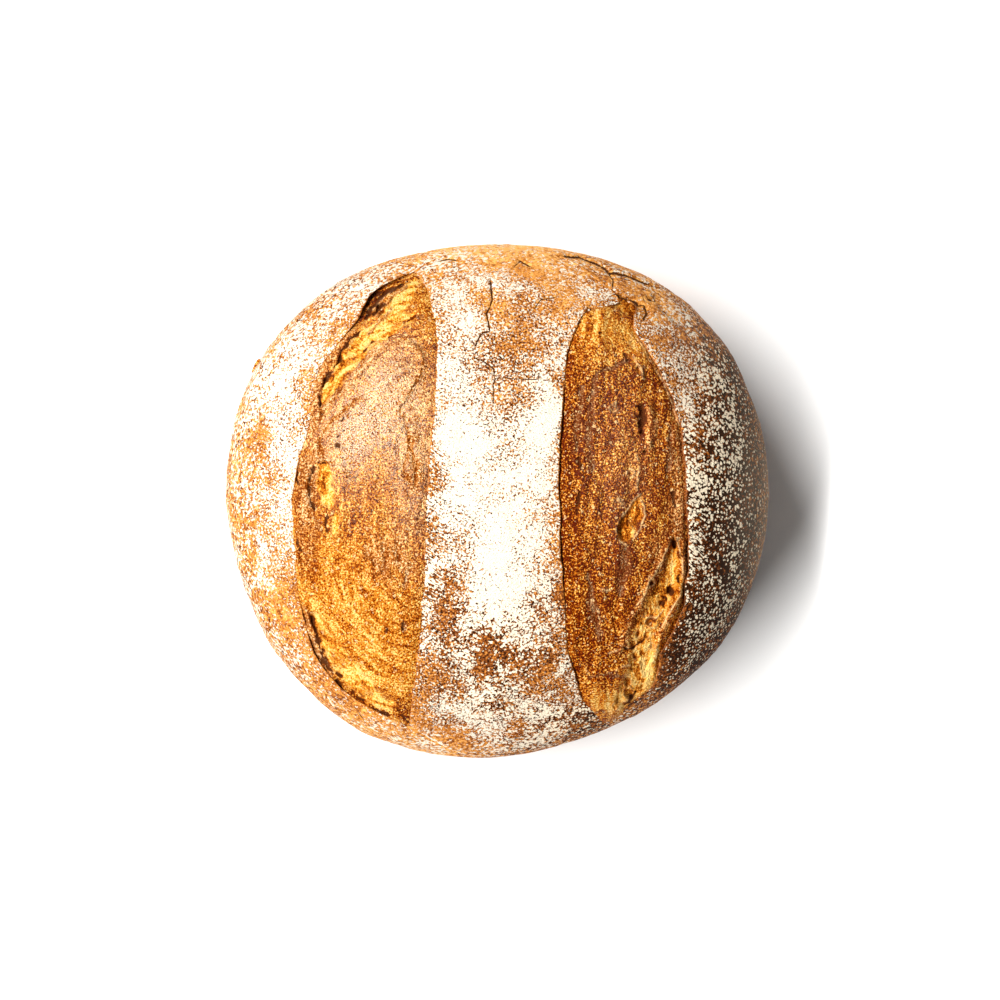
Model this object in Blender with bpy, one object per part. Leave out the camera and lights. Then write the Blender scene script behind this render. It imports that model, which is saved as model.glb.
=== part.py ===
"""A round quark bread, baked free on a hot stone, whose two long scores burst open in the oven.

The loaf is one solid: a sphere whose poles lie at the front and the back is pushed out, vertex by
vertex, to a hand-shaped dome on a flat foot. Its meridians run along the scores, so each torn edge
of the crust follows one of them and stays crisp.

Frame: +Z up, +Y to the back, metres. The origin is on the flat foot, under the middle of the loaf.
"""

import math

import bmesh
import bpy
import numpy as np
from mathutils import Matrix

MM = 0.001

# The plain loaf, without its scores
HEIGHT = 98 * MM
BELLY_HEIGHT = 36 * MM  # level of the widest outline
MEAN_RADIUS = 111.9 * MM
# Long waves of the outline: (waves round the loaf, size, direction of a crest in degrees from +X)
OUTLINE_WAVES = (
    (1, 1.9 * MM, 139),
    (2, 3.6 * MM, 12),
    (3, 1.5 * MM, 41),
    (4, 1.5 * MM, -151),
)
DOME_POWER = 2.25  # 2 is an ellipse, more is fuller
FOOT_POWER = 2.6
FOOT_REACH = 48 * MM  # how far the underside would sag below the belly if the stone weren't there
# Soft lumps of the crust: (distance between lumps, height)
LUMPS = ((38 * MM, 1.0 * MM), (15 * MM, 0.35 * MM))

# The scores. Each torn edge is a line of (distance to the back, distance to the right) seen from
# above; both lines of a score meet at its tips. The outer edge is the ear that lifted off.
SCORES = {
    "left": {
        "outer": [(-93, -38), (-84, -56), (-70, -72), (-50, -80), (-20, -84), (5, -84.5),
                  (30, -78.5), (56, -72), (73, -58.5), (89, -47), (94.5, -36)],
        "inner": [(-93, -37), (-73, -34), (-24, -30), (20, -27.7), (50, -25.3), (75, -26.5),
                  (88, -30), (94.5, -35)],
        "ear": 1.0 * MM,  # height of the lifted edge over the plain loaf
        "inner_step": 0.9 * MM,  # the burst starts this far below the crust's inner edge
        "crown": 1.6 * MM,  # and bulges this far over the plain loaf in the middle
        "groove": 3.6 * MM,  # depth of the groove along the ear
        "groove_width": 0.16,  # share of the score's width
    },
    "right": {
        "outer": [(-92.5, 45.5), (-85, 54), (-78, 62), (-61, 67.4), (-50, 73), (-28, 77), (0, 76.3),
                  (33, 73), (46, 68.6), (56, 63.8), (64, 58.4), (69, 55.6), (75, 55.2), (79.4, 55.8),
                  (81.8, 52.6), (83.5, 48.8)],
        "inner": [(-92.5, 44.5), (-83, 35), (-72, 30.8), (-60, 27.4), (-40, 25.7), (0, 24), (43, 25.7),
                  (66.5, 29.6), (73, 32.6), (77, 36), (78.8, 41.5), (79.8, 46.2), (83.5, 48.2)],
        "ear": 0.9 * MM,
        "inner_step": 1.6 * MM,
        "crown": 1.2 * MM,
        "groove": 2.2 * MM,
        "groove_width": 0.12,
    },
}
EAR_REACH = 11 * MM  # the ear's lift dies away over this distance
TAPER_WIDTH = 26 * MM  # a score narrower than this is shallower too
TIP_WIDTH = 1 * MM  # what is left between the two lines at a tip
CROWN_LEAN = 0.8  # below 1 the bulge of a burst leans towards its inner edge
STEP_WIDTH = 0.15  # share of the score's width over which the inner step rises
GROOVE_WALL = (1.7, 0.3)  # where the groove's wall starts and ends, in groove widths from the ear
EDGE_SLACK = 0.5 * MM  # vertices this close to a torn edge belong to the crust's side of it

# Relief of the burst, where the dough tore in long strands along the score
STRANDS = ((8 * MM, 28 * MM, 1.3 * MM), (5 * MM, 14 * MM, 0.7 * MM))  # (across, along, height)
# Places where the burst tore again late in the oven and fell in, seen from above:
# (right, back, half length, half width, turned from +Y towards +X in degrees, depth), millimetres
LATE_TEARS = (
    (-58, 62, 26, 7.5, 38, 1.8),
    (-70, 13, 9, 6, 15, 1.6),
    (-61, -64, 27, 6.5, -38, 1.7),
    (68, -44, 20, 5, 18, 1.6),
    (46, 69, 9, 8, 0, 1.5),
)
# Large bubbles that baked open: (right, back, half length, half width, turn, depth), millimetres
BUBBLES = (
    (60.5, 28, 7, 4, 10, 1.5),
    (52, -10, 9, 4.2, 25, 1.6),
)

TEAR_RIM, BUBBLE_RIM = 0.25, 0.5  # height of the rim round a hollow, as a share of its depth
RIM_WIDTH = 0.25  # width of that rim, as a share of the hollow's half width
BOWL_START = 0.5  # share of the half width inside which a hollow has its full depth

# The mesh: columns of vertices round the loaf, from the middle of the foot over the left side:
# (zone, columns, which ends of the zone they crowd towards)
COLUMNS = (
    ("foot", 4, ""),
    ("side", 12, "end"),
    ("left", 19, "start end"),
    ("band", 10, ""),
    ("right", 19, "start end"),
    ("side", 12, "start"),
    ("foot", 4, ""),
)
ROWS = 74  # from front to back
RIM_ROWS = 0.96  # share of the foot's length over which a column follows its rim
EDGE_STEPS = 721  # places tried on each row, to find where it meets a torn edge
SHARP_FROM = math.radians(34)  # the torn edges stay sharp in shading
SEED = 11
LATTICE = 32  # random heights along each side of the lattice, before they repeat


def lattice_noise(points, size, seed):
    """Smooth noise from -1 to 1: random heights on a cubic lattice of this spacing, with their blend
    between lattice points eased at both ends."""
    heights = np.random.default_rng(seed).uniform(-1, 1, (LATTICE, LATTICE, LATTICE))
    place = points / np.asarray(size) + LATTICE / 2
    cell = np.floor(place).astype(int)
    part = place - cell
    part = part * part * (3 - 2 * part)
    total = np.zeros(len(points))
    for corner in np.ndindex(2, 2, 2):
        share = np.prod(np.where(corner, part, 1 - part), axis=1)
        total += share * heights[tuple((cell + corner).T % LATTICE)]
    return total


def smooth_step(low, high, values):
    """0 below low, 1 above high and an eased ramp between."""
    share = np.clip((values - low) / (high - low), 0, 1)
    return share * share * (3 - 2 * share)


def curve_through(line, at):
    """A smooth curve through the line's points, in metres, read at these distances to the back.
    Its slope at each point is that of the parabola through the point and its neighbours."""
    back, right = np.array(line).T * MM
    slope = np.gradient(right, back)
    at = np.clip(at, back[0], back[-1])
    k = np.clip(np.searchsorted(back, at) - 1, 0, len(back) - 2)
    gap = back[k + 1] - back[k]
    t = (at - back[k]) / gap
    return (
        (1 + 2 * t) * (1 - t) ** 2 * right[k]
        + t * (1 - t) ** 2 * gap * slope[k]
        + t * t * (3 - 2 * t) * right[k + 1]
        + t * t * (t - 1) * gap * slope[k + 1]
    )


def outline_radius(angle):
    """Distance from the middle to the widest outline, in this direction seen from above."""
    return MEAN_RADIUS + sum(
        size * np.cos(waves * angle - math.radians(crest)) for waves, size, crest in OUTLINE_WAVES
    )


def plain_loaf(around, along):
    """The loaf without scores. around turns about the front-to-back axis, from straight up to the
    right, and along runs from the front pole to the back pole. Seen from the middle, each point is in
    that direction of a sphere; its height and its distance from the middle are powers of the sine and
    the cosine of its elevation, which makes the dome fuller than an ellipse."""
    x = np.cos(along) * np.sin(around)
    y = np.sin(along)
    z = np.cos(along) * np.cos(around)
    turn = np.arctan2(y, x)
    level = np.clip(np.hypot(x, y), 0, 1)
    power = np.where(z > 0, 2 / DOME_POWER, 2 / FOOT_POWER)
    reach = np.where(z > 0, HEIGHT - BELLY_HEIGHT, FOOT_REACH)
    out = outline_radius(turn) * level**power
    height = BELLY_HEIGHT + reach * np.sign(z) * np.abs(z) ** power
    return np.stack([out * np.cos(turn), out * np.sin(turn), height], -1)


def edge_columns(line, along):
    """How far round the loaf each row meets a torn edge. Beyond the score's tips the column keeps
    straight on to the pole."""
    around = np.linspace(-math.pi / 2, math.pi / 2, EDGE_STEPS)
    inner = along[1:-1]
    points = plain_loaf(around[None, :], inner[:, None])
    beyond = points[..., 0] - curve_through(line, points[..., 1])
    k = np.clip((beyond < 0).sum(axis=1), 1, EDGE_STEPS - 1)
    rows = np.arange(len(inner))
    share = beyond[rows, k - 1] / (beyond[rows, k - 1] - beyond[rows, k])
    found = around[k - 1] + share * (around[k] - around[k - 1])
    back = plain_loaf(found, inner)[:, 1]
    open_here = (back > line[0][0] * MM) & (back < line[-1][0] * MM)
    return np.interp(along, inner[open_here], found[open_here])


def rim_columns(along):
    """How far round the loaf each row meets the rim of the foot, where the height is nothing."""
    level = (BELLY_HEIGHT / FOOT_REACH) ** (FOOT_POWER / 2)
    return np.arccos(-np.minimum(level / np.maximum(np.cos(along), level), RIM_ROWS))


def crowded(count, ends):
    """Shares of the way across a zone, even or half as far apart at the ends named."""
    share = np.arange(count) / count
    if ends == "start end":
        return (share + (1 - np.cos(math.pi * share)) / 2) / 2
    if ends == "start":
        return (share + 1 - np.cos(math.pi / 2 * share)) / 2
    if ends == "end":
        return (share + np.sin(math.pi / 2 * share)) / 2
    return share


def column_layout(along):
    """For every row, how far round the loaf its columns are; and for every column its zone and its
    share of the way across it."""
    rim = rim_columns(along)
    edges = [
        np.full_like(along, -math.pi),
        -rim,
        edge_columns(SCORES["left"]["outer"], along),
        edge_columns(SCORES["left"]["inner"], along),
        edge_columns(SCORES["right"]["inner"], along),
        edge_columns(SCORES["right"]["outer"], along),
        rim,
        np.full_like(along, math.pi),
    ]
    around, zones, shares = [], [], []
    for k, (zone, count, ends) in enumerate(COLUMNS):
        share = crowded(count, ends)
        around.append(edges[k][:, None] + (edges[k + 1] - edges[k])[:, None] * share)
        zones += [zone] * count
        shares += list(share)
    return np.hstack(around), np.array(zones), np.array(shares)


def score_shape(score, across, points):
    """Height of a burst over the plain loaf. across runs from 0 at the inner edge to 1 at the ear:
    a step down, a bulge, then the groove that the ear lifted away from."""
    bulge = np.sin(math.pi * np.clip(across, 0, 1) ** CROWN_LEAN)
    step = 1 - smooth_step(0, STEP_WIDTH, across)
    wall_start, wall_end = (1 - widths * score["groove_width"] for widths in GROOVE_WALL)
    groove = smooth_step(wall_start, wall_end, across)
    shape = score["crown"] * bulge - score["inner_step"] * step - score["groove"] * groove
    for k, (wide, long, height) in enumerate(STRANDS):
        shape += height * lattice_noise(points, (wide, long, wide), SEED + 3 + k) * bulge
    return shape


def hollows(points, places, rim):
    """Oval hollows seen from above, with a rim as high as this share of their depth."""
    height = np.zeros(len(points))
    for right, back, long, wide, turn, deep in places:
        c, s = math.cos(math.radians(turn)), math.sin(math.radians(turn))
        x, y = points[:, 0] - right * MM, points[:, 1] - back * MM
        reach = np.hypot((c * x - s * y) / (wide * MM), (s * x + c * y) / (long * MM))
        lip = rim * np.exp(-(((reach - 1) / RIM_WIDTH) ** 2))
        bowl = 1 - smooth_step(BOWL_START, 1, reach)
        height += deep * MM * (lip - bowl)
    return height


def taper(score, back):
    """From 0 at the score's tips to 1 where it is wide."""
    width = np.abs(curve_through(score["outer"], back) - curve_through(score["inner"], back))
    return np.sqrt(np.clip((width - TIP_WIDTH) / (TAPER_WIDTH - TIP_WIDTH), 0, 1))


def relief(points, zones, shares):
    """Height of the crust and of the bursts over the plain loaf, at every vertex."""
    height = sum(size * lattice_noise(points, gap, SEED + k) for k, (gap, size) in enumerate(LUMPS))
    height *= smooth_step(0, BELLY_HEIGHT / 2, points[:, 2])
    up = points[:, 2] > BELLY_HEIGHT
    for name, score in SCORES.items():
        outer = curve_through(score["outer"], points[:, 1])
        depth = taper(score, points[:, 1])
        side = np.sign(outer)
        outside = up & (side * (points[:, 0] - outer) > -EDGE_SLACK)
        ear = score["ear"] * np.exp(-np.abs(points[:, 0] - outer) / EAR_REACH)
        inside = (zones == name) & (shares > 0)
        height += np.where(outside & ~inside, ear * depth, 0)
        across = 1 - shares if name == "left" else shares
        burst = score_shape(score, across, points)
        burst += hollows(points, LATE_TEARS, TEAR_RIM) + hollows(points, BUBBLES, BUBBLE_RIM)
        height += np.where(inside, burst * depth, 0)
    return height


def loaf_points(sphere):
    """Where the vertices of the unit sphere go."""
    count = sum(n for _, n, _ in COLUMNS)
    turn = np.arctan2(sphere[:, 0], sphere[:, 2]) / math.tau + 0.5
    column = np.round(turn * count).astype(int) % count
    row = np.round((np.arcsin(np.clip(sphere[:, 1], -1, 1)) / math.pi + 0.5) * ROWS).astype(int)
    rows = (np.arange(ROWS + 1) / ROWS - 0.5) * math.pi
    around, zones, shares = column_layout(rows)
    points = plain_loaf(around[row, column], rows[row])
    outward = points - [0, 0, BELLY_HEIGHT]
    outward /= [MEAN_RADIUS**2, MEAN_RADIUS**2, (HEIGHT - BELLY_HEIGHT) ** 2]
    outward /= np.linalg.norm(outward, axis=1)[:, None]
    points += outward * relief(points, zones[column], shares[column])[:, None]
    points[:, 2] = np.maximum(points[:, 2], 0)  # the stone flattened the foot
    middle = (points.max(axis=0) + points.min(axis=0)) / 2
    return points - [middle[0], middle[1], 0]


def crust_material():
    """Baked rye and wheat crust under a dusting of flour."""
    material = bpy.data.materials.new("crust")
    material.use_nodes = True
    shader = material.node_tree.nodes["Principled BSDF"]
    shader.inputs["Base Color"].default_value = (0.48, 0.24, 0.09, 1)
    shader.inputs["Roughness"].default_value = 0.75
    shader.inputs["Metallic"].default_value = 0
    return material


def build_loaf(collection):
    """The loaf, from a sphere whose poles are turned to the front and the back."""
    bm = bmesh.new()
    bmesh.ops.create_uvsphere(
        bm,
        u_segments=sum(count for _, count, _ in COLUMNS),
        v_segments=ROWS,
        radius=1,
        matrix=Matrix.Rotation(math.pi / 2, 4, "X"),
    )
    mesh = bpy.data.meshes.new("loaf")
    bm.to_mesh(mesh)
    bm.free()
    sphere = np.empty(len(mesh.vertices) * 3)
    mesh.vertices.foreach_get("co", sphere)
    mesh.vertices.foreach_set("co", loaf_points(sphere.reshape(-1, 3)).ravel())
    mesh.update()
    mesh.shade_smooth()
    mesh.set_sharp_from_angle(angle=SHARP_FROM)
    mesh.materials.append(crust_material())
    loaf = bpy.data.objects.new("loaf", mesh)
    collection.objects.link(loaf)


for old in list(bpy.data.objects):
    bpy.data.objects.remove(old)
bread = bpy.data.collections.new("quark_bread")
bpy.context.scene.collection.children.link(bread)
build_loaf(bread)
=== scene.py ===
# %% [markdown]
# # A floured quark bread with two burst scores
#
# Quark bread is a round loaf of wheat and rye dough that is made soft and moist by fresh curd cheese.
# It is dusted with flour, cut twice with a blade and baked on a hot stone. In the oven the two cuts
# tear open: the crust lifts along one side of each and becomes an ear, and fresh dough swells out
# between the torn edges. This lesson makes the crust and the two bursts as surfaces worked out with
# numpy, then their finish with shader nodes. All shapes are worked out in millimetres.

# %% Load the frame
import math

import bpy
import numpy as np
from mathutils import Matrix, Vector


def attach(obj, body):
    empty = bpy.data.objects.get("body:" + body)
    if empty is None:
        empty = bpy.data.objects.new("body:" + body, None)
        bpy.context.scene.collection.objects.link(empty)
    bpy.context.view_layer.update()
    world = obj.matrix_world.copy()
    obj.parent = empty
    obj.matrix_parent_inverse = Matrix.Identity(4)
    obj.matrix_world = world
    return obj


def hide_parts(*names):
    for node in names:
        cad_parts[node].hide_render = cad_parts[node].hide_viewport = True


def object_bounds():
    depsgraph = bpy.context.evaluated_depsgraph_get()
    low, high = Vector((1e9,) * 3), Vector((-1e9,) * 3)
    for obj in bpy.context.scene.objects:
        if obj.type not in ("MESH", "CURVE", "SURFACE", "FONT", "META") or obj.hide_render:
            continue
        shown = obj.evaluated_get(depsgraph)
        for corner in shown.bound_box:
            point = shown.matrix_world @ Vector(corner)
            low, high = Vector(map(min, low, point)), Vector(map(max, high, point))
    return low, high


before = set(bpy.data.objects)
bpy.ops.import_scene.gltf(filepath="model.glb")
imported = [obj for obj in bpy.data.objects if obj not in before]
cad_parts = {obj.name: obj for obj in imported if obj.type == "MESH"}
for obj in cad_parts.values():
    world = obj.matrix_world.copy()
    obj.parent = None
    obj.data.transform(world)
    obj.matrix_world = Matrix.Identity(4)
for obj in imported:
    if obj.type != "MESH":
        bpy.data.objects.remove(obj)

cad_box = [list(corner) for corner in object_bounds()]
MM = 0.001
print("the solid loaf measures", [round((b - a) / MM, 1) for a, b in zip(*cad_box)], "mm")

# %% [markdown]
# ## Unevenness
#
# Nothing on a loaf is even, so every shape below is mixed with smooth random heights. Blender's own
# noise would need a call for every vertex. A lattice of random heights that is blended between its
# corners gives the same kind of hills for a whole array at once, and the seed makes it repeatable.

# %% Smooth noise on whole arrays
LATTICE = 32  # random heights along each side of the lattice, before they repeat


def lattice_noise(points, size, seed):
    """Smooth noise from -1 to 1: random heights on a cubic lattice of this spacing, with their blend
    between lattice points eased at both ends."""
    heights = np.random.default_rng(seed).uniform(-1, 1, (LATTICE, LATTICE, LATTICE))
    place = points / np.asarray(size) + LATTICE / 2
    cell = np.floor(place).astype(int)
    part = place - cell
    part = part * part * (3 - 2 * part)
    total = np.zeros(points.shape[:-1])
    for corner in np.ndindex(2, 2, 2):
        share = np.prod(np.where(corner, part, 1 - part), axis=-1)
        total += share * heights[tuple(np.moveaxis((cell + corner) % LATTICE, -1, 0))]
    return total


def turned_noise(points, size, seed):
    """The same noise on a lattice that is turned at random, so that its rows don't show."""
    turn, _ = np.linalg.qr(np.random.default_rng(seed).normal(size=(3, 3)))
    return lattice_noise(points @ turn, size, seed)


def summed_noise(points, layers, seed):
    """Layers of turned noise, each (size, height) with a seed of its own, added up."""
    return sum(height * turned_noise(points, size, seed + k) for k, (size, height) in enumerate(layers))


def sway(points, size, seed):
    """Shifts from -1 to 1 to the right and to the back, which keep a drawn line from running true."""
    right, back = (turned_noise(points, size, seed + k) for k in range(2))
    return np.stack([right, back, 0 * right], -1)


def smooth_step(low, high, values):
    """0 below low, 1 above high and an eased ramp between."""
    share = np.clip((values - low) / (high - low), 0, 1)
    return share * share * (3 - 2 * share)


probe = lattice_noise(np.random.default_rng(1).uniform(0, 99, (999, 3)), 7.0, seed=1)
print("the noise runs from", round(probe.min(), 2), "to", round(probe.max(), 2))

# %% [markdown]
# ## The plain loaf
#
# A round of dough spreads before it sets, so its top is a dome that is fuller than half an ellipse,
# and the stone flattens its foot. The formula below gives that form without its scores. It is the
# same one as the solid's, so the finish fits it everywhere.

# %% Dome, belly and foot
HEIGHT, BELLY = 98.0, 36.0
MEAN_RADIUS = 111.9
# Long waves of the outline: waves round the loaf, size, direction of a crest in degrees from +X
OUTLINE_WAVES = ((1, 1.9, 139), (2, 3.6, 12), (3, 1.5, 41), (4, 1.5, -151))
DOME_POWER, FOOT_POWER = 2.25, 2.6
FOOT_REACH = 48.0  # how far the underside would sag below the belly if the stone weren't there


def outline_radius(angle):
    """Distance from the middle to the widest outline: a circle with a few long waves."""
    waves = [size * np.cos(count * angle - math.radians(crest)) for count, size, crest in OUTLINE_WAVES]
    return MEAN_RADIUS + sum(waves)


def plain_loaf(around, along):
    """Points of the loaf without scores. around turns about the front-to-back axis, from straight up
    to the right, and along runs from the front pole to the back pole. Height and distance from the
    middle are powers of the sine and the cosine of the elevation seen from the middle."""
    x = np.cos(along) * np.sin(around)
    y = np.sin(along) + 0 * around
    z = np.cos(along) * np.cos(around)
    turn = np.arctan2(y, x)
    power = np.where(z > 0, 2 / DOME_POWER, 2 / FOOT_POWER)
    out = outline_radius(turn) * np.clip(np.hypot(x, y), 0, 1) ** power
    reach = np.where(z > 0, HEIGHT - BELLY, FOOT_REACH)
    height = BELLY + reach * np.sign(z) * np.abs(z) ** power
    return np.stack([out * np.cos(turn), out * np.sin(turn), height], -1)


def dome_over(x, y):
    """Points of the dome over places on the table: the same dome, read the other way round."""
    level = np.clip(np.hypot(x, y) / outline_radius(np.arctan2(y, x)), 0, 1)
    height = BELLY + (HEIGHT - BELLY) * (1 - level**DOME_POWER) ** (1 / DOME_POWER)
    return np.stack([x, y, height], -1)


def outward(points):
    """Direction away from the loaf: that of the ellipsoid through the dome."""
    direction = (points - [0, 0, BELLY]) / [MEAN_RADIUS**2, MEAN_RADIUS**2, (HEIGHT - BELLY) ** 2]
    return direction / np.linalg.norm(direction, axis=-1, keepdims=True)


print("the plain dome is", dome_over(np.zeros(1), np.zeros(1))[0, 2], "mm high")

# %% [markdown]
# ## The torn edges
#
# Each score has two torn edges that meet at its tips. Seen from above an edge is a line that runs
# from the front to the back, so it can be written as a curve: how far right it lies at each distance
# to the back. A small waver makes it torn rather than cut.

# %% Edges of the two scores
# (distance to the back, distance to the right)
EDGES = {
    "left": {
        "outer": [(-93, -38), (-84, -56), (-70, -72), (-50, -80), (-20, -84), (5, -84.5),
                  (30, -78.5), (56, -72), (73, -58.5), (89, -47), (94.5, -36)],
        "inner": [(-93, -37), (-73, -34), (-24, -30), (20, -27.7), (50, -25.3), (75, -26.5),
                  (88, -30), (94.5, -35)],
    },
    "right": {
        "outer": [(-92.5, 45.5), (-85, 54), (-78, 62), (-61, 67.4), (-50, 73), (-28, 77), (0, 76.3),
                  (33, 73), (46, 68.6), (56, 63.8), (64, 58.4), (69, 55.6), (75, 55.2), (79.4, 55.8),
                  (81.8, 52.6), (83.5, 48.8)],
        "inner": [(-92.5, 44.5), (-83, 35), (-72, 30.8), (-60, 27.4), (-40, 25.7), (0, 24), (43, 25.7),
                  (66.5, 29.6), (73, 32.6), (77, 36), (78.8, 41.5), (79.8, 46.2), (83.5, 48.2)],
    },
}
WAVER = ((7.0, 0.45), (2.6, 0.22), (1.1, 0.14))  # (length, size)
TIP_WIDTH, FULL_WIDTH = 1.0, 26.0  # a score narrower than FULL_WIDTH is shallower too


def curve_through(line, at):
    """A smooth curve through the line's points, read at these places. Between two points it is the
    cubic whose slope at each is that of the parabola through the point and its neighbours."""
    where, value = np.array(line, float).T
    slope = np.gradient(value, where)
    at = np.clip(at, where[0], where[-1])
    k = np.clip(np.searchsorted(where, at) - 1, 0, len(where) - 2)
    gap = where[k + 1] - where[k]
    t = (at - where[k]) / gap
    return (
        (1 + 2 * t) * (1 - t) ** 2 * value[k]
        + t * (1 - t) ** 2 * gap * slope[k]
        + t * t * (3 - 2 * t) * value[k + 1]
        + t * t * (t - 1) * gap * slope[k + 1]
    )


def taper(side, back):
    """From 0 at a score's tips to 1 where it is wide: the square root of its share of FULL_WIDTH."""
    width = np.abs(curve_through(EDGES[side]["outer"], back) - curve_through(EDGES[side]["inner"], back))
    return np.sqrt(np.clip((width - TIP_WIDTH) / (FULL_WIDTH - TIP_WIDTH), 0, 1))


def edge(side, which, back):
    """How far right a torn edge lies at these distances to the back, with its waver."""
    seed = 40 + 2 * (side == "right") + (which == "outer")
    place = np.stack([back, 0 * back, 0 * back], -1)
    waver = sum(size * lattice_noise(place, length, seed) for length, size in WAVER)
    return curve_through(EDGES[side][which], back) + waver * taper(side, back)


score_places = np.linspace(-90, 80, 99)
for side in EDGES:
    widths = np.abs(edge(side, "outer", score_places) - edge(side, "inner", score_places))
    print(side, "score: at most", round(widths.max(), 1), "mm wide")

# %% [markdown]
# ## Small forms
#
# Cracks, folds, tears, pores and bubbles are all drawn the same way: a line on the table under them,
# and a profile that depends only on the distance from it. One function measures that distance for
# every vertex, and says on which side of the line the vertex lies.

# %% Distance from a line, and what is built on it
def from_line(points, line, widths=1.0):
    """How far each point is from a line of places on the table, in half widths of the line, and on
    which side of it, -1 or 1. widths is one half width, or one for each place of the line."""
    place = points[..., :2]
    line = np.array(line, float)
    widths = np.broadcast_to(np.asarray(widths, float), len(line))
    best = np.full(place.shape[:-1], np.inf)
    side = np.ones(place.shape[:-1])
    for k in range(len(line) - 1):
        run = line[k + 1] - line[k]
        away = place - line[k]
        share = np.clip(away @ run / (run @ run), 0, 1)
        width = widths[k] + share * (widths[k + 1] - widths[k])
        reach = np.linalg.norm(away - share[..., None] * run, axis=-1) / width
        cross = np.sign(run[0] * away[..., 1] - run[1] * away[..., 0])
        side = np.where(reach < best, cross, side)
        best = np.minimum(best, reach)
    return best, side


def in_oval(points, right, back, wide, long, turn):
    """How far out in an oval each point is, 0 in its middle and 1 on its rim. turn is in degrees from
    straight back towards the right."""
    c, s = math.cos(math.radians(turn)), math.sin(math.radians(turn))
    x, y = points[..., 0] - right, points[..., 1] - back
    return np.hypot((c * x - s * y) / wide, (s * x + c * y) / long)


reach, way = from_line(np.array([[3.0, 4.0, 0.0]]), [(0, 0), (0, 9)])
print("a place 3 mm beside a line is", reach[0], "mm from it, on side", way[0])

# %% [markdown]
# ## Meshes from grids
#
# Both the crust and the bursts are closed tubes whose two ends shrink to a point, like a ball with
# its poles. A grid of points, row by row from one end to the other, becomes such a mesh with whole
# arrays: quads between the rows and a fan of triangles at either end.

# %% Closed mesh from a grid
def closed_mesh(name, rows, values):
    """A mesh through a grid of points in millimetres: rows x columns x 3. The columns close round,
    and the first and the last row are single points. values are numbers stored at the vertices."""
    count, columns = rows.shape[:2]
    keep = np.concatenate([[0], np.arange(columns, (count - 1) * columns + 1)])
    points = rows.reshape(-1, 3)[keep]
    first = 1 + np.arange(count - 2)[:, None] * columns
    column = np.arange(columns)
    after = (column + 1) % columns
    low, high = first[:-1], first[1:]
    quads = np.stack([low + column, low + after, high + after, high + column], -1).reshape(-1, 4)
    last = len(points) - 1
    front = np.stack([0 * column, 1 + after, 1 + column], -1)
    back = np.stack([0 * column + last, first[-1] + column, first[-1] + after], -1)
    corners = np.concatenate([quads.ravel(), front.ravel(), back.ravel()])
    sizes = np.concatenate([np.full(len(quads), 4), np.full(2 * columns, 3)])
    mesh = bpy.data.meshes.new(name)
    mesh.vertices.add(len(points))
    mesh.vertices.foreach_set("co", (points * MM).ravel())
    mesh.loops.add(len(corners))
    mesh.loops.foreach_set("vertex_index", corners)
    mesh.polygons.add(len(sizes))
    mesh.polygons.foreach_set("loop_start", np.concatenate([[0], np.cumsum(sizes)[:-1]]))
    mesh.update(calc_edges=True)
    for key, value in values.items():
        attribute = mesh.attributes.new(key, "FLOAT", "POINT")
        attribute.data.foreach_set("value", value.reshape(-1)[keep].astype(np.float32))
    mesh.shade_smooth()
    print(name, "has", int((sizes - 2).sum()), "triangles")
    return mesh


# %% [markdown]
# ## Crust
#
# The crust is the skin of the dough. It is set and browned before the scores burst, so its edges
# stay sharp and stand over the bursts. It could be a sculpted ball, but a ball with its poles at the
# front and the back has meridians that run the way the scores do. Each torn edge then lies on one
# meridian, and the next few columns fold round the edge and down under it.

# %% Where each row of the grid meets the torn edges
EDGE_STEPS = 721  # places tried on each row


def edge_columns(side, which, along):
    """How far round the loaf each row meets a torn edge: the zero between two neighbouring places
    tried. Beyond the score's tips the column keeps straight on to the pole."""
    around = np.linspace(-math.pi / 2, math.pi / 2, EDGE_STEPS)
    inner = along[1:-1]
    points = plain_loaf(around[None, :], inner[:, None])
    beyond = points[..., 0] - edge(side, which, points[..., 1])
    k = np.clip((beyond < 0).sum(axis=1), 1, EDGE_STEPS - 1)
    rows = np.arange(len(inner))
    share = beyond[rows, k - 1] / (beyond[rows, k - 1] - beyond[rows, k])
    found = around[k - 1] + share * (around[k] - around[k - 1])
    back = plain_loaf(found, inner)[:, 1]
    open_here = (back > EDGES[side][which][0][0]) & (back < EDGES[side][which][-1][0])
    return np.interp(along, inner[open_here], found[open_here])


met = np.degrees(edge_columns("left", "outer", np.linspace(-1.4, 1.4, 9)))
print("the left ear lies", round(-met.max()), "to", round(-met.min()), "degrees left of straight up")

# %% Columns of the crust
CRUST_ROWS = 282
FOOT_COLUMNS, SIDE_COLUMNS, BAND_COLUMNS, FLOOR_COLUMNS = 8, 86, 80, 4
RIM_ROWS = 0.96  # share of the foot's length over which a column follows its rim
# Section of a torn edge: (into the score, height over the edge)
LIP = (
    (0.0, 0.0), (0.3, -0.12), (0.5, -0.45), (0.5, -1.0), (0.25, -1.7), (-0.4, -2.7), (-1.4, -4.5),
    (-1.4, -8.0),
)
FLOOR_DEPTH = -12.0  # between the torn edges the crust's skin runs on this deep, under the burst


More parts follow.
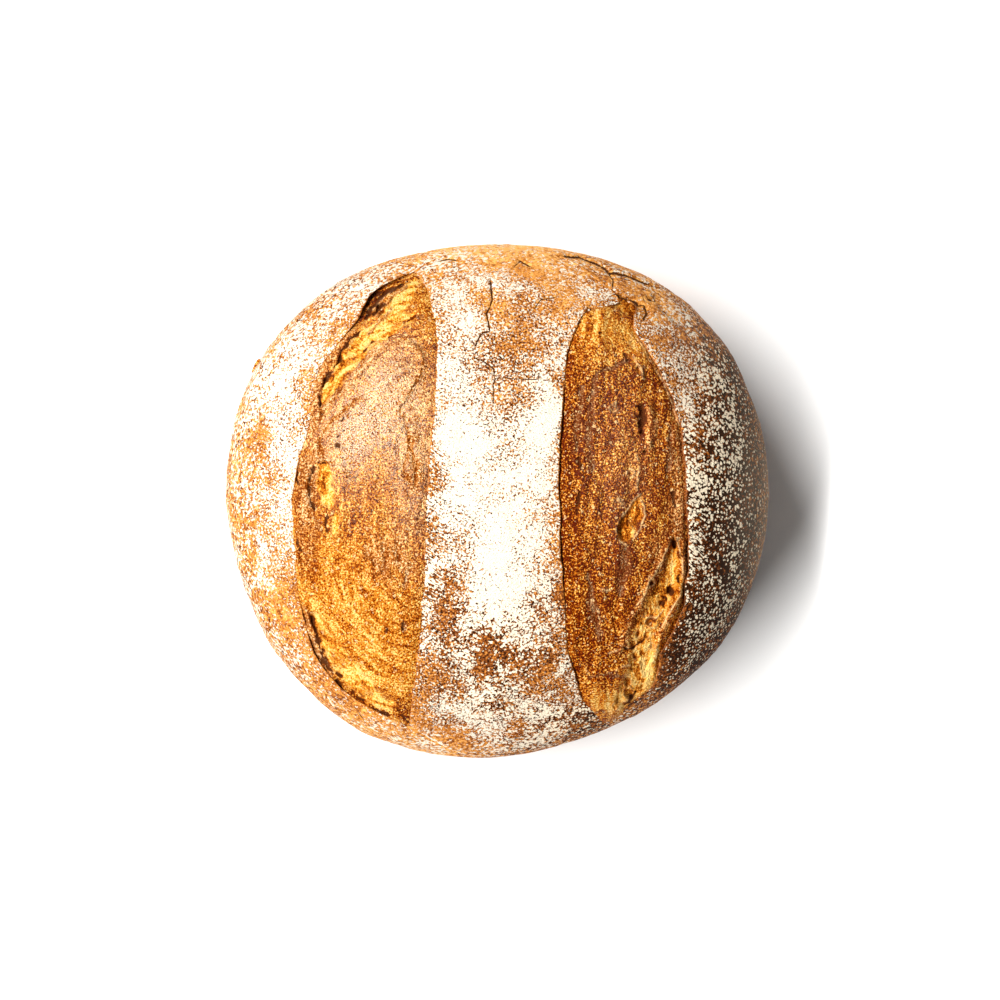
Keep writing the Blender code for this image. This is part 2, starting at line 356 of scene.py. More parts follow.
def crust_columns(along):
    """For every row and column: how far round the loaf it is. For every column: how far it goes into
    the score and down, which way the score lies, and its zone."""
    level = (BELLY / FOOT_REACH) ** (FOOT_POWER / 2)
    rim = np.arccos(-np.minimum(level / np.maximum(np.cos(along), level), RIM_ROWS))
    torn_edges = (("left", "outer"), ("left", "inner"), ("right", "inner"), ("right", "outer"))
    stops = [-math.pi + 0 * along, -rim]
    stops += [edge_columns(side, which, along) for side, which in torn_edges]
    stops += [rim, math.pi + 0 * along]
    around, into, down, way, zone = [], [], [], [], []

    def add(start, end, shares, lip, to_right, name):
        shares = np.asarray(shares, float)
        around.append(start[:, None] + (end - start)[:, None] * shares)
        into.extend(step[0] for step in lip)
        down.extend(step[1] for step in lip)
        way.extend([to_right] * len(shares))
        zone.extend([name] * len(shares))

    def plain(k, count, name):
        add(stops[k], stops[k + 1], np.arange(count) / count, [(0, 0)] * count, 0, name)

    def score(k, left_name, right_name):
        lip = len(LIP)
        floor = (1 + np.arange(FLOOR_COLUMNS)) / (FLOOR_COLUMNS + 1)
        add(stops[k], stops[k + 1], [0] * lip, LIP, 1, left_name)
        add(stops[k], stops[k + 1], floor, [(0, FLOOR_DEPTH)] * FLOOR_COLUMNS, 0, "floor")
        add(stops[k], stops[k + 1], [1] * (lip - 1), LIP[:0:-1], -1, right_name)

    plain(0, FOOT_COLUMNS, "foot")
    plain(1, SIDE_COLUMNS, "left side")
    score(2, "left ear", "band edge")
    plain(3, BAND_COLUMNS, "band")
    score(4, "band edge", "right ear")
    plain(5, SIDE_COLUMNS, "right side")
    plain(6, FOOT_COLUMNS, "foot")
    return np.hstack(around), np.array(into), np.array(down), np.array(way), np.array(zone)


print("a row of the crust has", len(crust_columns(np.linspace(-1.4, 1.4, 9))[-1]), "points")

# %% [markdown]
# ### Cracks and lumps of the crust
#
# A few hair cracks run over the top, a longer one follows the rim at the back, and the back tip of
# the right score tore open roughly. Each is a groove along a named line. On the rim crack the side
# towards the middle stands a little higher, because the crust slid over itself there.

# %% Relief of the crust
LUMPS = ((38.0, 1.0), (15.0, 0.35))  # as the solid's: (distance between lumps, height)
WRINKLES = ((6.5, 0.26), (2.7, 0.13))  # the same of the crust's fine wrinkles
EAR = {  # lift of the outer torn edge: (distance to the back, height)
    "left": [(-93, 0), (-80, 0.1), (-62, 0.9), (-42, 0.5), (0, 0.4), (40, 0.5), (66, 0.6), (80, 1.2),
        (94.5, 0)],
    "right": [(-92.5, 0), (-60, 0.5), (0, 0.9), (60, 0.6), (83.5, 0)],
}
EAR_REACH = 11.0  # the lift dies away over this distance
EAR_UNEVEN = (13.0, 0.5)  # and varies along it: (distance, share)
FAR = 9.0  # a distance at which a crack no longer shows
CRACK_SWAY = (4.0, 0.5)  # how its line sways: (distance, size)
# The step beside a crack rises over the one distance and dies away over the other
CRACK_STEP_WIDTH, CRACK_STEP_REACH = 0.5, 3.0
BLISTER_FLAT = 0.4  # share of a blister's radius that is level
# (line, half width, depth, how much higher the left of the line stands)
CRACKS = {
    "main": ([(-3.7, 89.5), (-3.3, 81.9), (-5.1, 76.4), (-3.9, 69.3), (-7.1, 68.5), (-9.9, 63.1)],
        0.7, 0.9, 0.0),
    "main's tail": ([(-9.5, 57.8), (-6.3, 56.1), (-2.6, 54.1), (-2.2, 39.8)], 0.6, 0.6, 0.0),
    "across": ([(-2.6, 49.6), (5, 49.9), (15.2, 49.4)], 0.5, 0.4, 0.0),
    "back arc": ([(14.5, 79.4), (17.4, 82.3), (22.3, 83.2)], 0.6, 0.5, 0.2),
    "rim": ([(27.2, 101.4), (33.5, 101.2), (38.4, 99.0), (43.3, 96.8), (45.3, 94.5), (52.5, 93.5),
        (60.8, 89.8)], 0.7, 0.7, 0.6),
    "rim's branch": ([(45.3, 94.5), (46.8, 91.4), (46.2, 88)], 0.6, 0.8, 0.0),
    "back fold": ([(6.8, 97.4), (8.9, 99.3), (11.7, 97.0)], 0.6, 0.7, 0.3),
    "left back fold": ([(-24.6, 99.4), (-21.7, 100.5), (-18.4, 99.8)], 0.6, 0.6, 0.3),
    "torn tip": ([(48.2, 84.1), (50.2, 82.9), (52.5, 82.3), (55.1, 81.6), (57.2, 80.2)], 0.8, 1.2, 0.7),
    "torn tip's recess": ([(59.8, 79.4), (60.6, 76.8), (59.2, 74.2)], 0.9, 1.1, 0.4),
    "torn tip's hole": ([(61.4, 82.9), (62.4, 82.3)], 0.9, 1.4, 0.0),
    "torn tip's ridge": ([(63.7, 84.1), (66, 78.5), (70, 74.5), (73.5, 71.5)], 0.5, 0.4, -0.7),
    "left of the tip": ([(32.0, 71.6), (33.8, 75.0), (35.8, 77.6)], 0.6, 0.7, 0.0),
    "left front": ([(-59.4, -87.2), (-57.0, -90.2)], 0.7, 0.9, 0.3),
}
# (right, back, radius, height)
BLISTERS = ((-5.1, 64.8, 4.0, 0.5), (12.1, 90.0, 1.2, -0.6), (103.0, 27.9, 1.8, 0.5))


def near_cracks(points):
    """For every point: the signed distance from the nearest crack, over the crack's depth, and the
    height all cracks add: a groove that is a bell curve of the distance, and a step that dies away."""
    nearest = np.full(points.shape[:-1], FAR)
    height = np.zeros(points.shape[:-1])
    on_top = points[..., 2] > BELLY
    gap, size = CRACK_SWAY
    bent = points + size * sway(points, gap, seed=61)
    for line, width, depth, step in CRACKS.values():
        distance, side = from_line(bent, line)
        rise = smooth_step(0, CRACK_STEP_WIDTH, distance) * np.exp(-distance / CRACK_STEP_REACH)
        height -= np.where(on_top, depth * np.exp(-((distance / width) ** 2)), 0)
        height += np.where(on_top, step * side * rise, 0)
        signed = np.where(on_top, distance * side, FAR)
        nearest = np.where(distance < np.abs(nearest), signed / depth, nearest)
    return nearest, height


def lumps(points):
    """Height of the broad lumps, which the bursts share."""
    return sum(size * lattice_noise(points, gap, 11 + k) for k, (gap, size) in enumerate(LUMPS))


def crust_relief(points, zone):
    """Height over the plain loaf: lumps, wrinkles, blisters and the lifted ears."""
    height = lumps(points) * smooth_step(0, BELLY / 2, points[..., 2])
    height += summed_noise(points, WRINKLES, seed=21)
    for right, back, radius, high in BLISTERS:
        reach = in_oval(points, right, back, radius, radius, 0)
        height += high * np.where(points[..., 2] > BELLY, 1 - smooth_step(BLISTER_FLAT, 1, reach), 0)
    for side in EDGES:
        lifted = np.isin(zone, [f"{side} side", f"{side} ear"])
        distance = np.abs(points[..., 0] - edge(side, "outer", points[..., 1]))
        uneven = 1 + EAR_UNEVEN[1] * turned_noise(points, EAR_UNEVEN[0], seed=27)
        ear = curve_through(EAR[side], points[..., 1]) * uneven * np.exp(-distance / EAR_REACH)
        height += np.where(lifted & (points[..., 2] > BELLY), ear, 0)
    return height


print(len(CRACKS), "cracks and", len(BLISTERS), "blisters lie on the crust")

# %% [markdown]
# ### Flour and bake of the crust
#
# Flour stays where the dough was flat when it was dusted and thins out towards the rims and where the
# crust stretched. The crust is browner on the right and golden round the left rim. A painted picture
# would need a flat layout of the crust. Smooth fields made of a few soft patches are shorter, are
# stored at the vertices, and the material turns them into specks.

# %% Where the flour lies
FLOUR_SHARE, LEAST_FLOUR = 0.34, 0.22  # how much of the crust is white before the patches, and at least
FLOUR_PATCHES = ((11.0, 0.20), (4.5, 0.16))  # uneven everywhere: (size, how much)
# (right, back, reach right, reach back, how much is added)
DUSTINGS = (
    (-2, -6, 24, 40, 0.50), (-20, 45, 13, 34, 0.34), (19, 30, 8, 36, 0.34), (6, -42, 14, 22, 0.14),
    (-88, 30, 12, 36, 0.28), (-104, -6, 10, 30, 0.12), (-84, -15, 4, 32, 0.16), (-62, 86, 22, 9, 0.18),
    (-80, -60, 6, 14, 0.12), (79, -2, 4, 46, 0.10), (86, -4, 14, 56, 0.17), (108, 0, 7, 80, -0.12),
    (66, 58, 5, 10, 0.20), (74, -58, 18, 14, -0.08), (8, -88, 46, 14, 0.26), (-14, 80, 14, 14, 0.16),
    (-24, -60, 10, 30, -0.06), (62, 78, 10, 8, -0.08), (-28, -30, 8, 22, 0.15), (-24, -56, 9, 14, 0.10),
    (-10, -53, 15, 12, -0.12), (14, -78, 14, 10, -0.06), (36, -88, 12, 9, -0.20), (76, 40, 6, 12, 0.16),
    (8, -60, 30, 20, 0.06), (-80, 70, 26, 26, 0.10), (-66, -86, 34, 22, -0.10), (86, -60, 20, 30, -0.12),
)
# Low on the sides this share of it is left. The change runs between these heights, higher up on the
# right by a share of the distance
SIDE_FLOUR, SIDE_FROM, SIDE_TO, SIDE_LEAN = 0.4, 26, 58, 0.12
# Where the flour was drawn out into streaks, and how far from a torn edge that ends and begins
PULLED = (
    (-27, -28, 7, 20, 0.7), (80, -22, 7, 16, 0.8), (80, 22, 6, 26, 0.5), (24, 30, 4, 50, 0.4),
    (-26, 10, 5, 20, 0.5),
)
PULLED_FROM, PULLED_WHOLE = 16, 4
# Where the crust is paled towards the flour's colour without specks, most on the far right rim
VEILS = ((112, 0, 12, 70, 0.17), (90, 70, 20, 20, 0.06))


def soft_patches(points, patches):
    """Sum of soft patches seen from above. Each is its amount times a bell curve of the distance from
    its middle, counted in its reaches to the right and to the back."""
    return sum(
        amount * np.exp(-(((points[..., 0] - right) / wide) ** 2) - ((points[..., 1] - back) / long) ** 2)
        for right, back, wide, long, amount in patches
    )


def edge_distance(points):
    """How far each point of the dome is from the nearest torn edge, straight to the left or right."""
    far = 40.0
    nearest = np.full(points.shape[:-1], far)
    for side in EDGES:
        beyond_tips = taper(side, points[..., 1]) <= 0
        for which in EDGES[side]:
            gap = np.abs(points[..., 0] - edge(side, which, points[..., 1])) + far * beyond_tips
            nearest = np.minimum(nearest, np.where(points[..., 2] > BELLY, gap, far))
    return nearest


def flour_on(points, bare):
    """Share of white: the dusting and its unevenness, thinner down the sides and none where bare."""
    flour = FLOUR_SHARE + soft_patches(points, DUSTINGS)
    flour += summed_noise(points, FLOUR_PATCHES, seed=31)
    up = smooth_step(SIDE_FROM, SIDE_TO, points[..., 2] - SIDE_LEAN * points[..., 0])
    flour = np.maximum(flour, LEAST_FLOUR) * (SIDE_FLOUR + (1 - SIDE_FLOUR) * up)
    return np.clip(np.where(bare, 0, flour), 0, 1)


print(len(DUSTINGS), "patches of flour")

# %% How far the crust is baked
CRUST_BAKE = 0.42  # 0 is golden and 1 is dark brown
BAKE_PATCH = (17.0, 0.12)  # uneven everywhere: (size, how much)
# (right, back, reach right, reach back, how much browner)
BAKES = (
    (94, -14, 26, 84, 0.62), (14, -62, 52, 44, 0.24), (16, 40, 34, 30, 0.20), (-26, -20, 14, 60, 0.10),
    (-50, -102, 60, 16, -0.24), (0, 108, 60, 14, -0.26), (56, 86, 25, 18, -0.04), (72, 76, 10, 9, -0.16),
    (102, 40, 12, 30, 0.12), (80, -64, 20, 16, 0.22), (10, -94, 50, 16, 0.20), (94, 56, 14, 22, 0.08),
    (38, -94, 18, 10, 0.16),
)
TORN_FROM, TORN_WHOLE = -0.05, -0.4  # how far below its edge the crust starts to be torn, and is
STEEP, FLAT = 0.55, 0.92  # how much of the way outward is upward where the crust is steep, and flat


def crust_fields(points, zone, down):
    """The fields of the crust: flour, bake, where flour was pulled into streaks, the torn face of the
    edges (down is how far a vertex lies below its edge), the pale veil without specks, and how steep it is."""
    bare = (down < TORN_FROM) | np.isin(zone, ["foot", "floor"])
    bake = CRUST_BAKE + soft_patches(points, BAKES)
    bake += BAKE_PATCH[1] * turned_noise(points, BAKE_PATCH[0], seed=33)
    near = smooth_step(PULLED_FROM, PULLED_WHOLE, edge_distance(points))
    return {
        "flour": flour_on(points, bare),
        "bake": np.clip(bake, 0, 1),
        "pulled": np.clip(soft_patches(points, PULLED), 0, 1) * near,
        "torn": smooth_step(TORN_FROM, TORN_WHOLE, down),
        "veil": np.where(bare, 0, soft_patches(points, VEILS)),
        "steep": smooth_step(FLAT, STEEP, outward(points)[..., 2]),
    }


print(len(BAKES), "patches of bake")

# %% [markdown]
# ### The crust as a whole
#
# Every vertex starts on the plain loaf, is pushed outward by the relief, and is then moved into and
# down a score if its column belongs to a torn edge. Nothing goes below the stone it lay on.

# %% Build the crust
along = np.linspace(-math.pi / 2, math.pi / 2, CRUST_ROWS + 1)
around, into, down, way, zone = crust_columns(along)
plain = plain_loaf(around, along[:, None])
on_the_left = np.arange(len(zone)) < len(zone) // 2
depth = np.where(on_the_left, taper("left", plain[..., 1]), taper("right", plain[..., 1]))
crack, cracks_height = near_cracks(plain)
flat_zone = np.isin(zone, ["foot", "left side", "band", "right side"])
height = crust_relief(plain, zone) + np.where(flat_zone, cracks_height, 0)
crust_points = plain + outward(plain) * height[..., None]
crust_points += np.stack([depth * into * way, 0 * depth, depth * down], -1)
crust_points[..., 2] = np.maximum(crust_points[..., 2], 0)
crust_values = crust_fields(plain, zone, depth * down)
crust_values["crack"] = crack
print("the crust has", len(crust_points), "rows")

# %% [markdown]
# The loaf stands on its foot with the middle of its box over the origin, as the solid does. The same
# small shift and shrink goes to every piece, so that the finish stays inside the solid's box.

# %% Fit to the solid's box
FIT_MARGIN = 0.15  # how far the finish stays inside the solid's box
low, high = crust_points.min(axis=(0, 1)), crust_points.max(axis=(0, 1))
cad_size = (np.array(cad_box[1]) - np.array(cad_box[0])) / MM
room = cad_size - [2 * FIT_MARGIN, 2 * FIT_MARGIN, FIT_MARGIN]
SHRINK = np.minimum(room / (high - low), 1)
MIDDLE = np.array([(low[0] + high[0]) / 2, (low[1] + high[1]) / 2, 0])
print("the crust is shifted by", np.round(-MIDDLE, 2), "mm and shrunk by", np.round(SHRINK, 4))


def on_the_solid(points):
    """The small shift and shrink that seats a piece where the solid is."""
    return (points - MIDDLE) * SHRINK


def add_piece(name, rows, values, slot):
    """A closed piece that rides on the loaf and stands for the solid."""
    piece = bpy.data.objects.new(name, closed_mesh(name, on_the_solid(rows), values))
    bpy.context.scene.collection.objects.link(piece)
    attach(piece, "root")
    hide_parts("loaf")
    return piece


crust = add_piece("crust", crust_points, crust_values, "crust")

# %% [markdown]
# ## Bursts
#
# Where a score opens, fresh dough pushes up late in the bake. Most of it dries to a skin, which folds
# and wrinkles as it is pushed. Along the ear it keeps tearing, so the moist yellow crumb shows there.
# Each burst is its own closed piece, tucked under the torn edges of the crust. It is made over a
# grid on the table: one way across the score, the other way along it, twice as fine as the crust's.
#
# The body of a burst is a low crown between its torn edges. At the inner edge it starts a step below
# the crust. The ear pulled away from it, so under the ear it falls into a gap.

# %% Body of a burst
# How deep the burst falls away under the ear, and how wide that gap is: (distance to the back, size)
GAP_DEPTH = {
    "left": [(-93, -0.2), (-84, -0.1), (-76, 0.8), (-70, 1.8), (-60, 2.4), (-50, 1.8), (-42, 0.8),
        (-25, 0.3), (0, 0.4), (10, 1.0), (22, 0.4), (34, 0.4), (48, 0.5), (64, 0.6), (70, 0.9),
        (76, 2.4), (86, 3.2), (91, 2), (94.5, 0.3)],
    "right": [(-92.5, 0.3), (-80, 0.6), (-60, 1.2), (-40, 1.6), (-20, 1.0), (0, 0.8), (40, 0.8),
        (60, 0.9), (72, 0.3), (76, -0.1), (83.5, -0.2)],
}
GAP_WIDTH = {
    "left": [(-93, 2), (-80, 4), (-60, 3.2), (-45, 2), (0, 1.6), (30, 2), (45, 3), (62, 3), (72, 4.0),
        (80, 7.0), (90, 6), (94.5, 2)],
    "right": [(-92.5, 1.2), (-60, 1.8), (-40, 2.2), (0, 1.6), (60, 2.0), (83.5, 1.2)],
}
GAP_UNEVEN = (4.0, 0.25)  # the gap's width varies: (distance, share)
GAP_FLAT = 0.3  # the share of its width that is at full depth
STEP = {  # the burst starts this far below the crust's inner edge
    "left": [(-93, 0.3), (94.5, 0.4)],
    "right": [(-92.5, 0.0), (-84, 0.8), (-60, 1.3), (60, 1.3), (70, 0.7), (76, 0.0), (83.5, 0.0)],
}
STEP_WIDTH = 3.4
CROWN = {"left": 1.8, "right": 1.4}  # the burst bulges this far over the plain loaf
CROWN_LEAN = 0.8  # below 1, so the top of the crown lies nearer the inner edge
PILLOWS = {  # soft swellings: (right, back, half width, half length, turn, height)
    "left": (
        (-42.5, 50.0, 9.5, 14.0, 28, 1.3), (-66, 22, 7, 12, 15, 0.7), (-58, -48, 12, 22, -25, 0.9),
    ),
    "right": ((50, 24, 9, 22, 0, 0.7), (42, -30, 10, 22, 0, 0.6), (47.4, -1, 2.2, 2.2, 0, 0.5)),
}


def burst_body(side, points, across, to_ear, to_inner):
    """Height over the plain loaf, and the depth of the gap. The crown is half a sine wave across the
    burst, and the lumps and wrinkles are those of the crust."""
    back = points[..., 1]
    crown = CROWN[side] * np.sin(math.pi * np.clip(across, 0, 1) ** CROWN_LEAN)
    step = curve_through(STEP[side], back) * (1 - smooth_step(0, STEP_WIDTH, to_inner))
    spacing, share = GAP_UNEVEN
    width = curve_through(GAP_WIDTH[side], back) * (1 + share * turned_noise(points, spacing, 74))
    gap = curve_through(GAP_DEPTH[side], back) * (1 - smooth_step(GAP_FLAT, 1.0, to_ear / width))
    height = taper(side, back) * (crown - step) - gap
    height += lumps(points)
    height += summed_noise(points, WRINKLES, seed=21)
    for right, place, wide, long, turn, high in PILLOWS[side]:
        height += high * np.exp(-2 * in_oval(points, right, place, wide, long, turn) ** 2)
    return height, gap


print("the deepest gap is", max(size for side in GAP_DEPTH for _, size in GAP_DEPTH[side]), "mm deep")

# %% [markdown]
# ### Named forms
#
# The pushed skin folds and creases. Where it can't stretch it tears and shows crumb, and narrow slits
# open along the ear. Bubbles burst and leave bowls with thin rims, and dried films stand over some of
# them. Noise can't put these where this loaf has them, so each is drawn along a line of its own. The
# names say where they lie.

# %% Folds
# They stand up: (line, half width or widths, height)
FOLDS = {
    "left": {
        "pillow's rim": ([(-75, 34), (-73.1, 36.4), (-67.3, 42.1), (-61.4, 46.4), (-55.5, 53.6),
            (-51.2, 58.8), (-46.2, 62.5), (-41.0, 63.8), (-35.2, 62.4), (-31.5, 58.7), (-30.8, 55.0),
            (-33.0, 49.8), (-36.7, 43.9), (-40.3, 38.3)],
            [1.2, 1.5, 1.6, 1.6, 1.8, 1.8, 1.6, 1.4, 1.2, 1.2, 1.2, 1.2, 1.0, 0.8], 1.5),
        "second fold": ([(-75, 22), (-71.0, 29.1), (-66.4, 33.3), (-61.3, 38.4), (-56.2, 41.2)],
            1.5, 0.9),
        "wall of the ear": ([(-60, 69.5), (-66.4, 64.0), (-71.3, 57.4), (-74.5, 50.0), (-76.5, 41.0),
            (-77.2, 34.8)], [1.6, 2.2, 2.4, 2.2, 2.0, 1.6], 0.7),
        "lower wall": ([(-79.5, -44), (-77.5, -54), (-74.2, -63), (-69.5, -71)], 1.3, 1.6),
        "middle wall": ([(-80.5, 16), (-79.8, 8), (-79.4, 0), (-80.0, -10)], 1.4, 0.6),
        "first strand": ([(-43.5, 86.5), (-48.5, 82.6), (-52.0, 78.8)], 0.7, 2.2),
        "second strand": ([(-38.5, 88.0), (-43.0, 84.5), (-47.5, 79.5), (-50.5, 75.5)], 0.8, 2.0),
        "third strand": ([(-45.0, 78.0), (-49.8, 72.6), (-53.5, 68.0)], 0.8, 1.2),
    },
    "right": {
        "bubble's ridge": ([(60.3, 37.2), (62.3, 32.7), (62.5, 27.0), (61.0, 21.7)],
            [1.2, 2.0, 2.2, 1.2], 1.3),
        "inner roll": ([(69.0, -17), (65.6, -24.2), (60.8, -33.5), (57.7, -41.4), (53.2, -50.0),
            (49, -62)], 1.4, 1.2),
        "outer roll": ([(74.6, -17), (75.4, -26), (75.0, -34), (73.0, -41), (68.4, -50), (64.6, -58),
            (62.8, -66)], 1.2, 1.4),
        "tip's flap": ([(47, -88), (50, -84.5), (54.5, -82)], 1.2, 1.2),
        "tip's curl": ([(52.0, -81.8), (53.6, -84.2), (52.4, -88.0), (47.6, -90.4), (44.0, -90.8)],
            [0.7, 1.0, 1.1, 1.0, 0.6], 1.2),
    },
}
print("folds:", {side: len(FOLDS[side]) for side in FOLDS})

# %% Tears
# They show bare crumb: (line, half widths, depth)
TEARS = {
    "left": {
        "upper tear": ([(-72.4, 37.0), (-68.6, 46.5), (-63.0, 55.2), (-54.4, 64.6), (-43.5, 72.0),
            (-36, 75.5)], [2.2, 4.2, 5.4, 5.2, 4.5, 2.5], 2.0),
        "beside the cavity": ([(-35.9, 88.5), (-41.5, 81.3), (-46.0, 75.4)], [3.0, 4.4, 3.5], 0.6),
        "middle tear": ([(-71.6, 14.4), (-71.6, 6.7), (-69.4, -0.4)], [2.6, 4.4, 2.8], 1.0),
        "small tear": ([(-66.5, -6.5), (-67.2, -12.5)], [1.6, 2.0], 0.5),
        "lower tear": ([(-76.0, -46.5), (-70.5, -57.5), (-64.5, -66.9), (-57.8, -74.8), (-50.2, -81.0),
            (-46, -83.5)], [2.0, 4.0, 4.6, 4.6, 4.0, 3.0], 1.6),
    },
    "right": {
        "back tip": ([(48.5, 80.0), (54.0, 79.0), (57.0, 76.0)], [2.0, 3.0, 2.6], 1.8),
        "leaf": ([(57.0, 1.4), (54.3, -6.7), (51.0, -13.2)], [0.9, 4.2, 3.8], 1.9),
        "front tear": ([(71.4, -15.4), (70.4, -24.2), (67.4, -35.6), (63.6, -45.4), (59.6, -54.4),
            (58.6, -64.4), (56.6, -73.7), (51.5, -82.0)],
            [0.6, 3.0, 4.6, 5.0, 5.2, 4.6, 5.4, 4.4], 1.4),
    },
}
print("tears:", {side: len(TEARS[side]) for side in TEARS})

# %% Slits
# They are narrow grooves, and the material paints them dark as shade: (line, half width or widths, depth)
SLITS = {
    "left": {
        "under the ear": ([(-38.8, 90.2), (-43.5, 87.6), (-48.8, 83.8), (-52.6, 79.4), (-54.6, 75.0)],
            [0.8, 1.3, 1.4, 1.2, 0.6], 2.0),
        "deep under the ear": ([(-47.2, 80.4), (-50.0, 78.4), (-51.6, 76.4)], [0.9, 1.3, 0.7], 2.6),
        "beside the wall": ([(-57.0, 69.0), (-61.0, 65.6), (-64.6, 60.8), (-66.0, 57.0), (-67.4, 55.2)],
            [0.4, 1.0, 0.5, 0.9, 0.3], 1.4),
        "lower beside the wall": ([(-69.0, 53.0), (-71.0, 49.4), (-72.0, 47.0)], [0.3, 0.9, 0.3], 1.3),
        "wall's foot": ([(-73.6, 42.4), (-73.8, 41.0), (-73.4, 38.6)], [0.3, 0.9, 0.6], 1.4),
        "in the upper tear": ([(-56.0, 60.8), (-53.4, 63.0), (-51.6, 65.0)], 0.5, 0.7),
        "at the lip": ([(-82.4, 16.5), (-82.9, 9.4), (-82.2, 6.2)], [0.5, 0.9, 0.8], 1.4),
        "beside the middle tear": ([(-76.2, 13.4), (-77.6, 6.8), (-77.2, 0.4), (-75.2, -3.8)],
            [0.5, 0.8, 0.8, 0.6], 1.6),
        "small arc": ([(-70.3, -6.6), (-71.4, -9.4), (-70.1, -12.6)], 0.5, 0.9),
        "at the lip, lower": ([(-82.4, -16), (-81.6, -20.5)], 0.9, 1.0),
        "beside the lower tear": ([(-77.4, -47.0), (-76.2, -51.8), (-74.9, -56.2), (-73.4, -61.6),
            (-72.0, -65.4), (-69.8, -70.0)], [0.6, 1.1, 0.9, 0.9, 1.2, 1.0], 1.8),
        "by the lower tear": ([(-66.4, -71.4), (-64.8, -72.4)], 0.8, 1.4),
        "lower holes": ([(-67.4, -74.4), (-65.6, -77.4)], 0.9, 1.3),
        "third lower hole": ([(-60.9, -78.2), (-60.3, -79.2)], 0.7, 1.0),
        "towards the tip": ([(-58.4, -81.2), (-56.6, -82.8)], 0.5, 0.9),
        "over the tip": ([(-52.8, -85.2), (-50.2, -86.4), (-46.4, -87.8)], [0.4, 0.6, 0.6], 0.9),
        "tip": ([(-42.6, -85.0), (-41.4, -86.6)], [0.5, 0.8], 0.8),
        "tip's end": ([(-40.0, -88.6), (-37.6, -91.0)], [0.6, 0.7], 0.7),
        "pore over the fold": ([(-64.6, 32.2), (-63.6, 34.0)], 0.6, 1.1),
        "second pore": ([(-63.8, 28.3), (-63.4, 28.8)], 0.5, 0.9),
        "third pore": ([(-65.5, 25.6), (-65.0, 26.0)], 0.6, 0.9),
        "fourth pore": ([(-65.9, 22.0), (-65.6, 22.9)], 0.8, 1.1),
        "under the wall": ([(-73.6, 15.8), (-70.9, 15.2)], 0.6, 0.9),
        "pore of the skin": ([(-39.7, -49.0), (-38.9, -51.4)], 0.7, 0.8),
        "pore beside it": ([(-46.9, -52.9), (-45.9, -52.5)], 0.6, 0.6),
    },
    "right": {
        "back crack": ([(48.4, 81.4), (50.5, 80.7), (53.4, 80.2)], [0.6, 0.8, 0.5], 0.8),
        "pore of the cap": ([(41.0, 68.5), (41.8, 68.2)], 0.6, 0.9),
        "second pore of the cap": ([(51.0, 59.4), (51.4, 58.9)], 0.6, 0.9),
        "third pore of the cap": ([(50.6, 66.0), (51.4, 65.6)], 0.5, 0.7),
        "bubble's hollow": ([(57.4, 38.0), (58.2, 33.0), (58.0, 27.5)], [0.9, 1.5, 0.9], 1.6),
        "pore": ([(59.2, 20.4), (59.6, 20.0)], 0.7, 1.2),
        "inner dimple": ([(31.9, 2.4), (31.7, -5.0)], 0.6, 0.8),
        "upper dimple": ([(32.6, 17.6), (32.4, 13.4)], 0.7, 0.7),
        "right dimple": ([(70.6, 3.4), (71.2, -2.6)], 0.6, 0.8),
        "wedge's point": ([(71.4, -17.0), (71.2, -18.6)], 1.0, 1.4),
        "in the wedge": ([(69.8, -36.4), (70.6, -38.2)], 1.1, 1.2),
        "under it": ([(67.3, -39.4), (68.5, -40.2)], 0.8, 0.9),
        "wedge's edge": ([(66.2, -41.6), (67.0, -42.2)], 0.6, 0.9),
        "wedge's side": ([(72.9, -31.4), (72.9, -32.6)], 0.6, 0.9),
        "dent's foot": ([(52.3, -60.6), (55.0, -60.0), (59.2, -56.6)], [0.6, 0.8, 0.4], 1.3),
        "over the tip": ([(56.8, -79.0), (53.0, -84.0)], [0.9, 1.1], 1.4),
    },
}
print("slits:", {side: len(SLITS[side]) for side in SLITS})
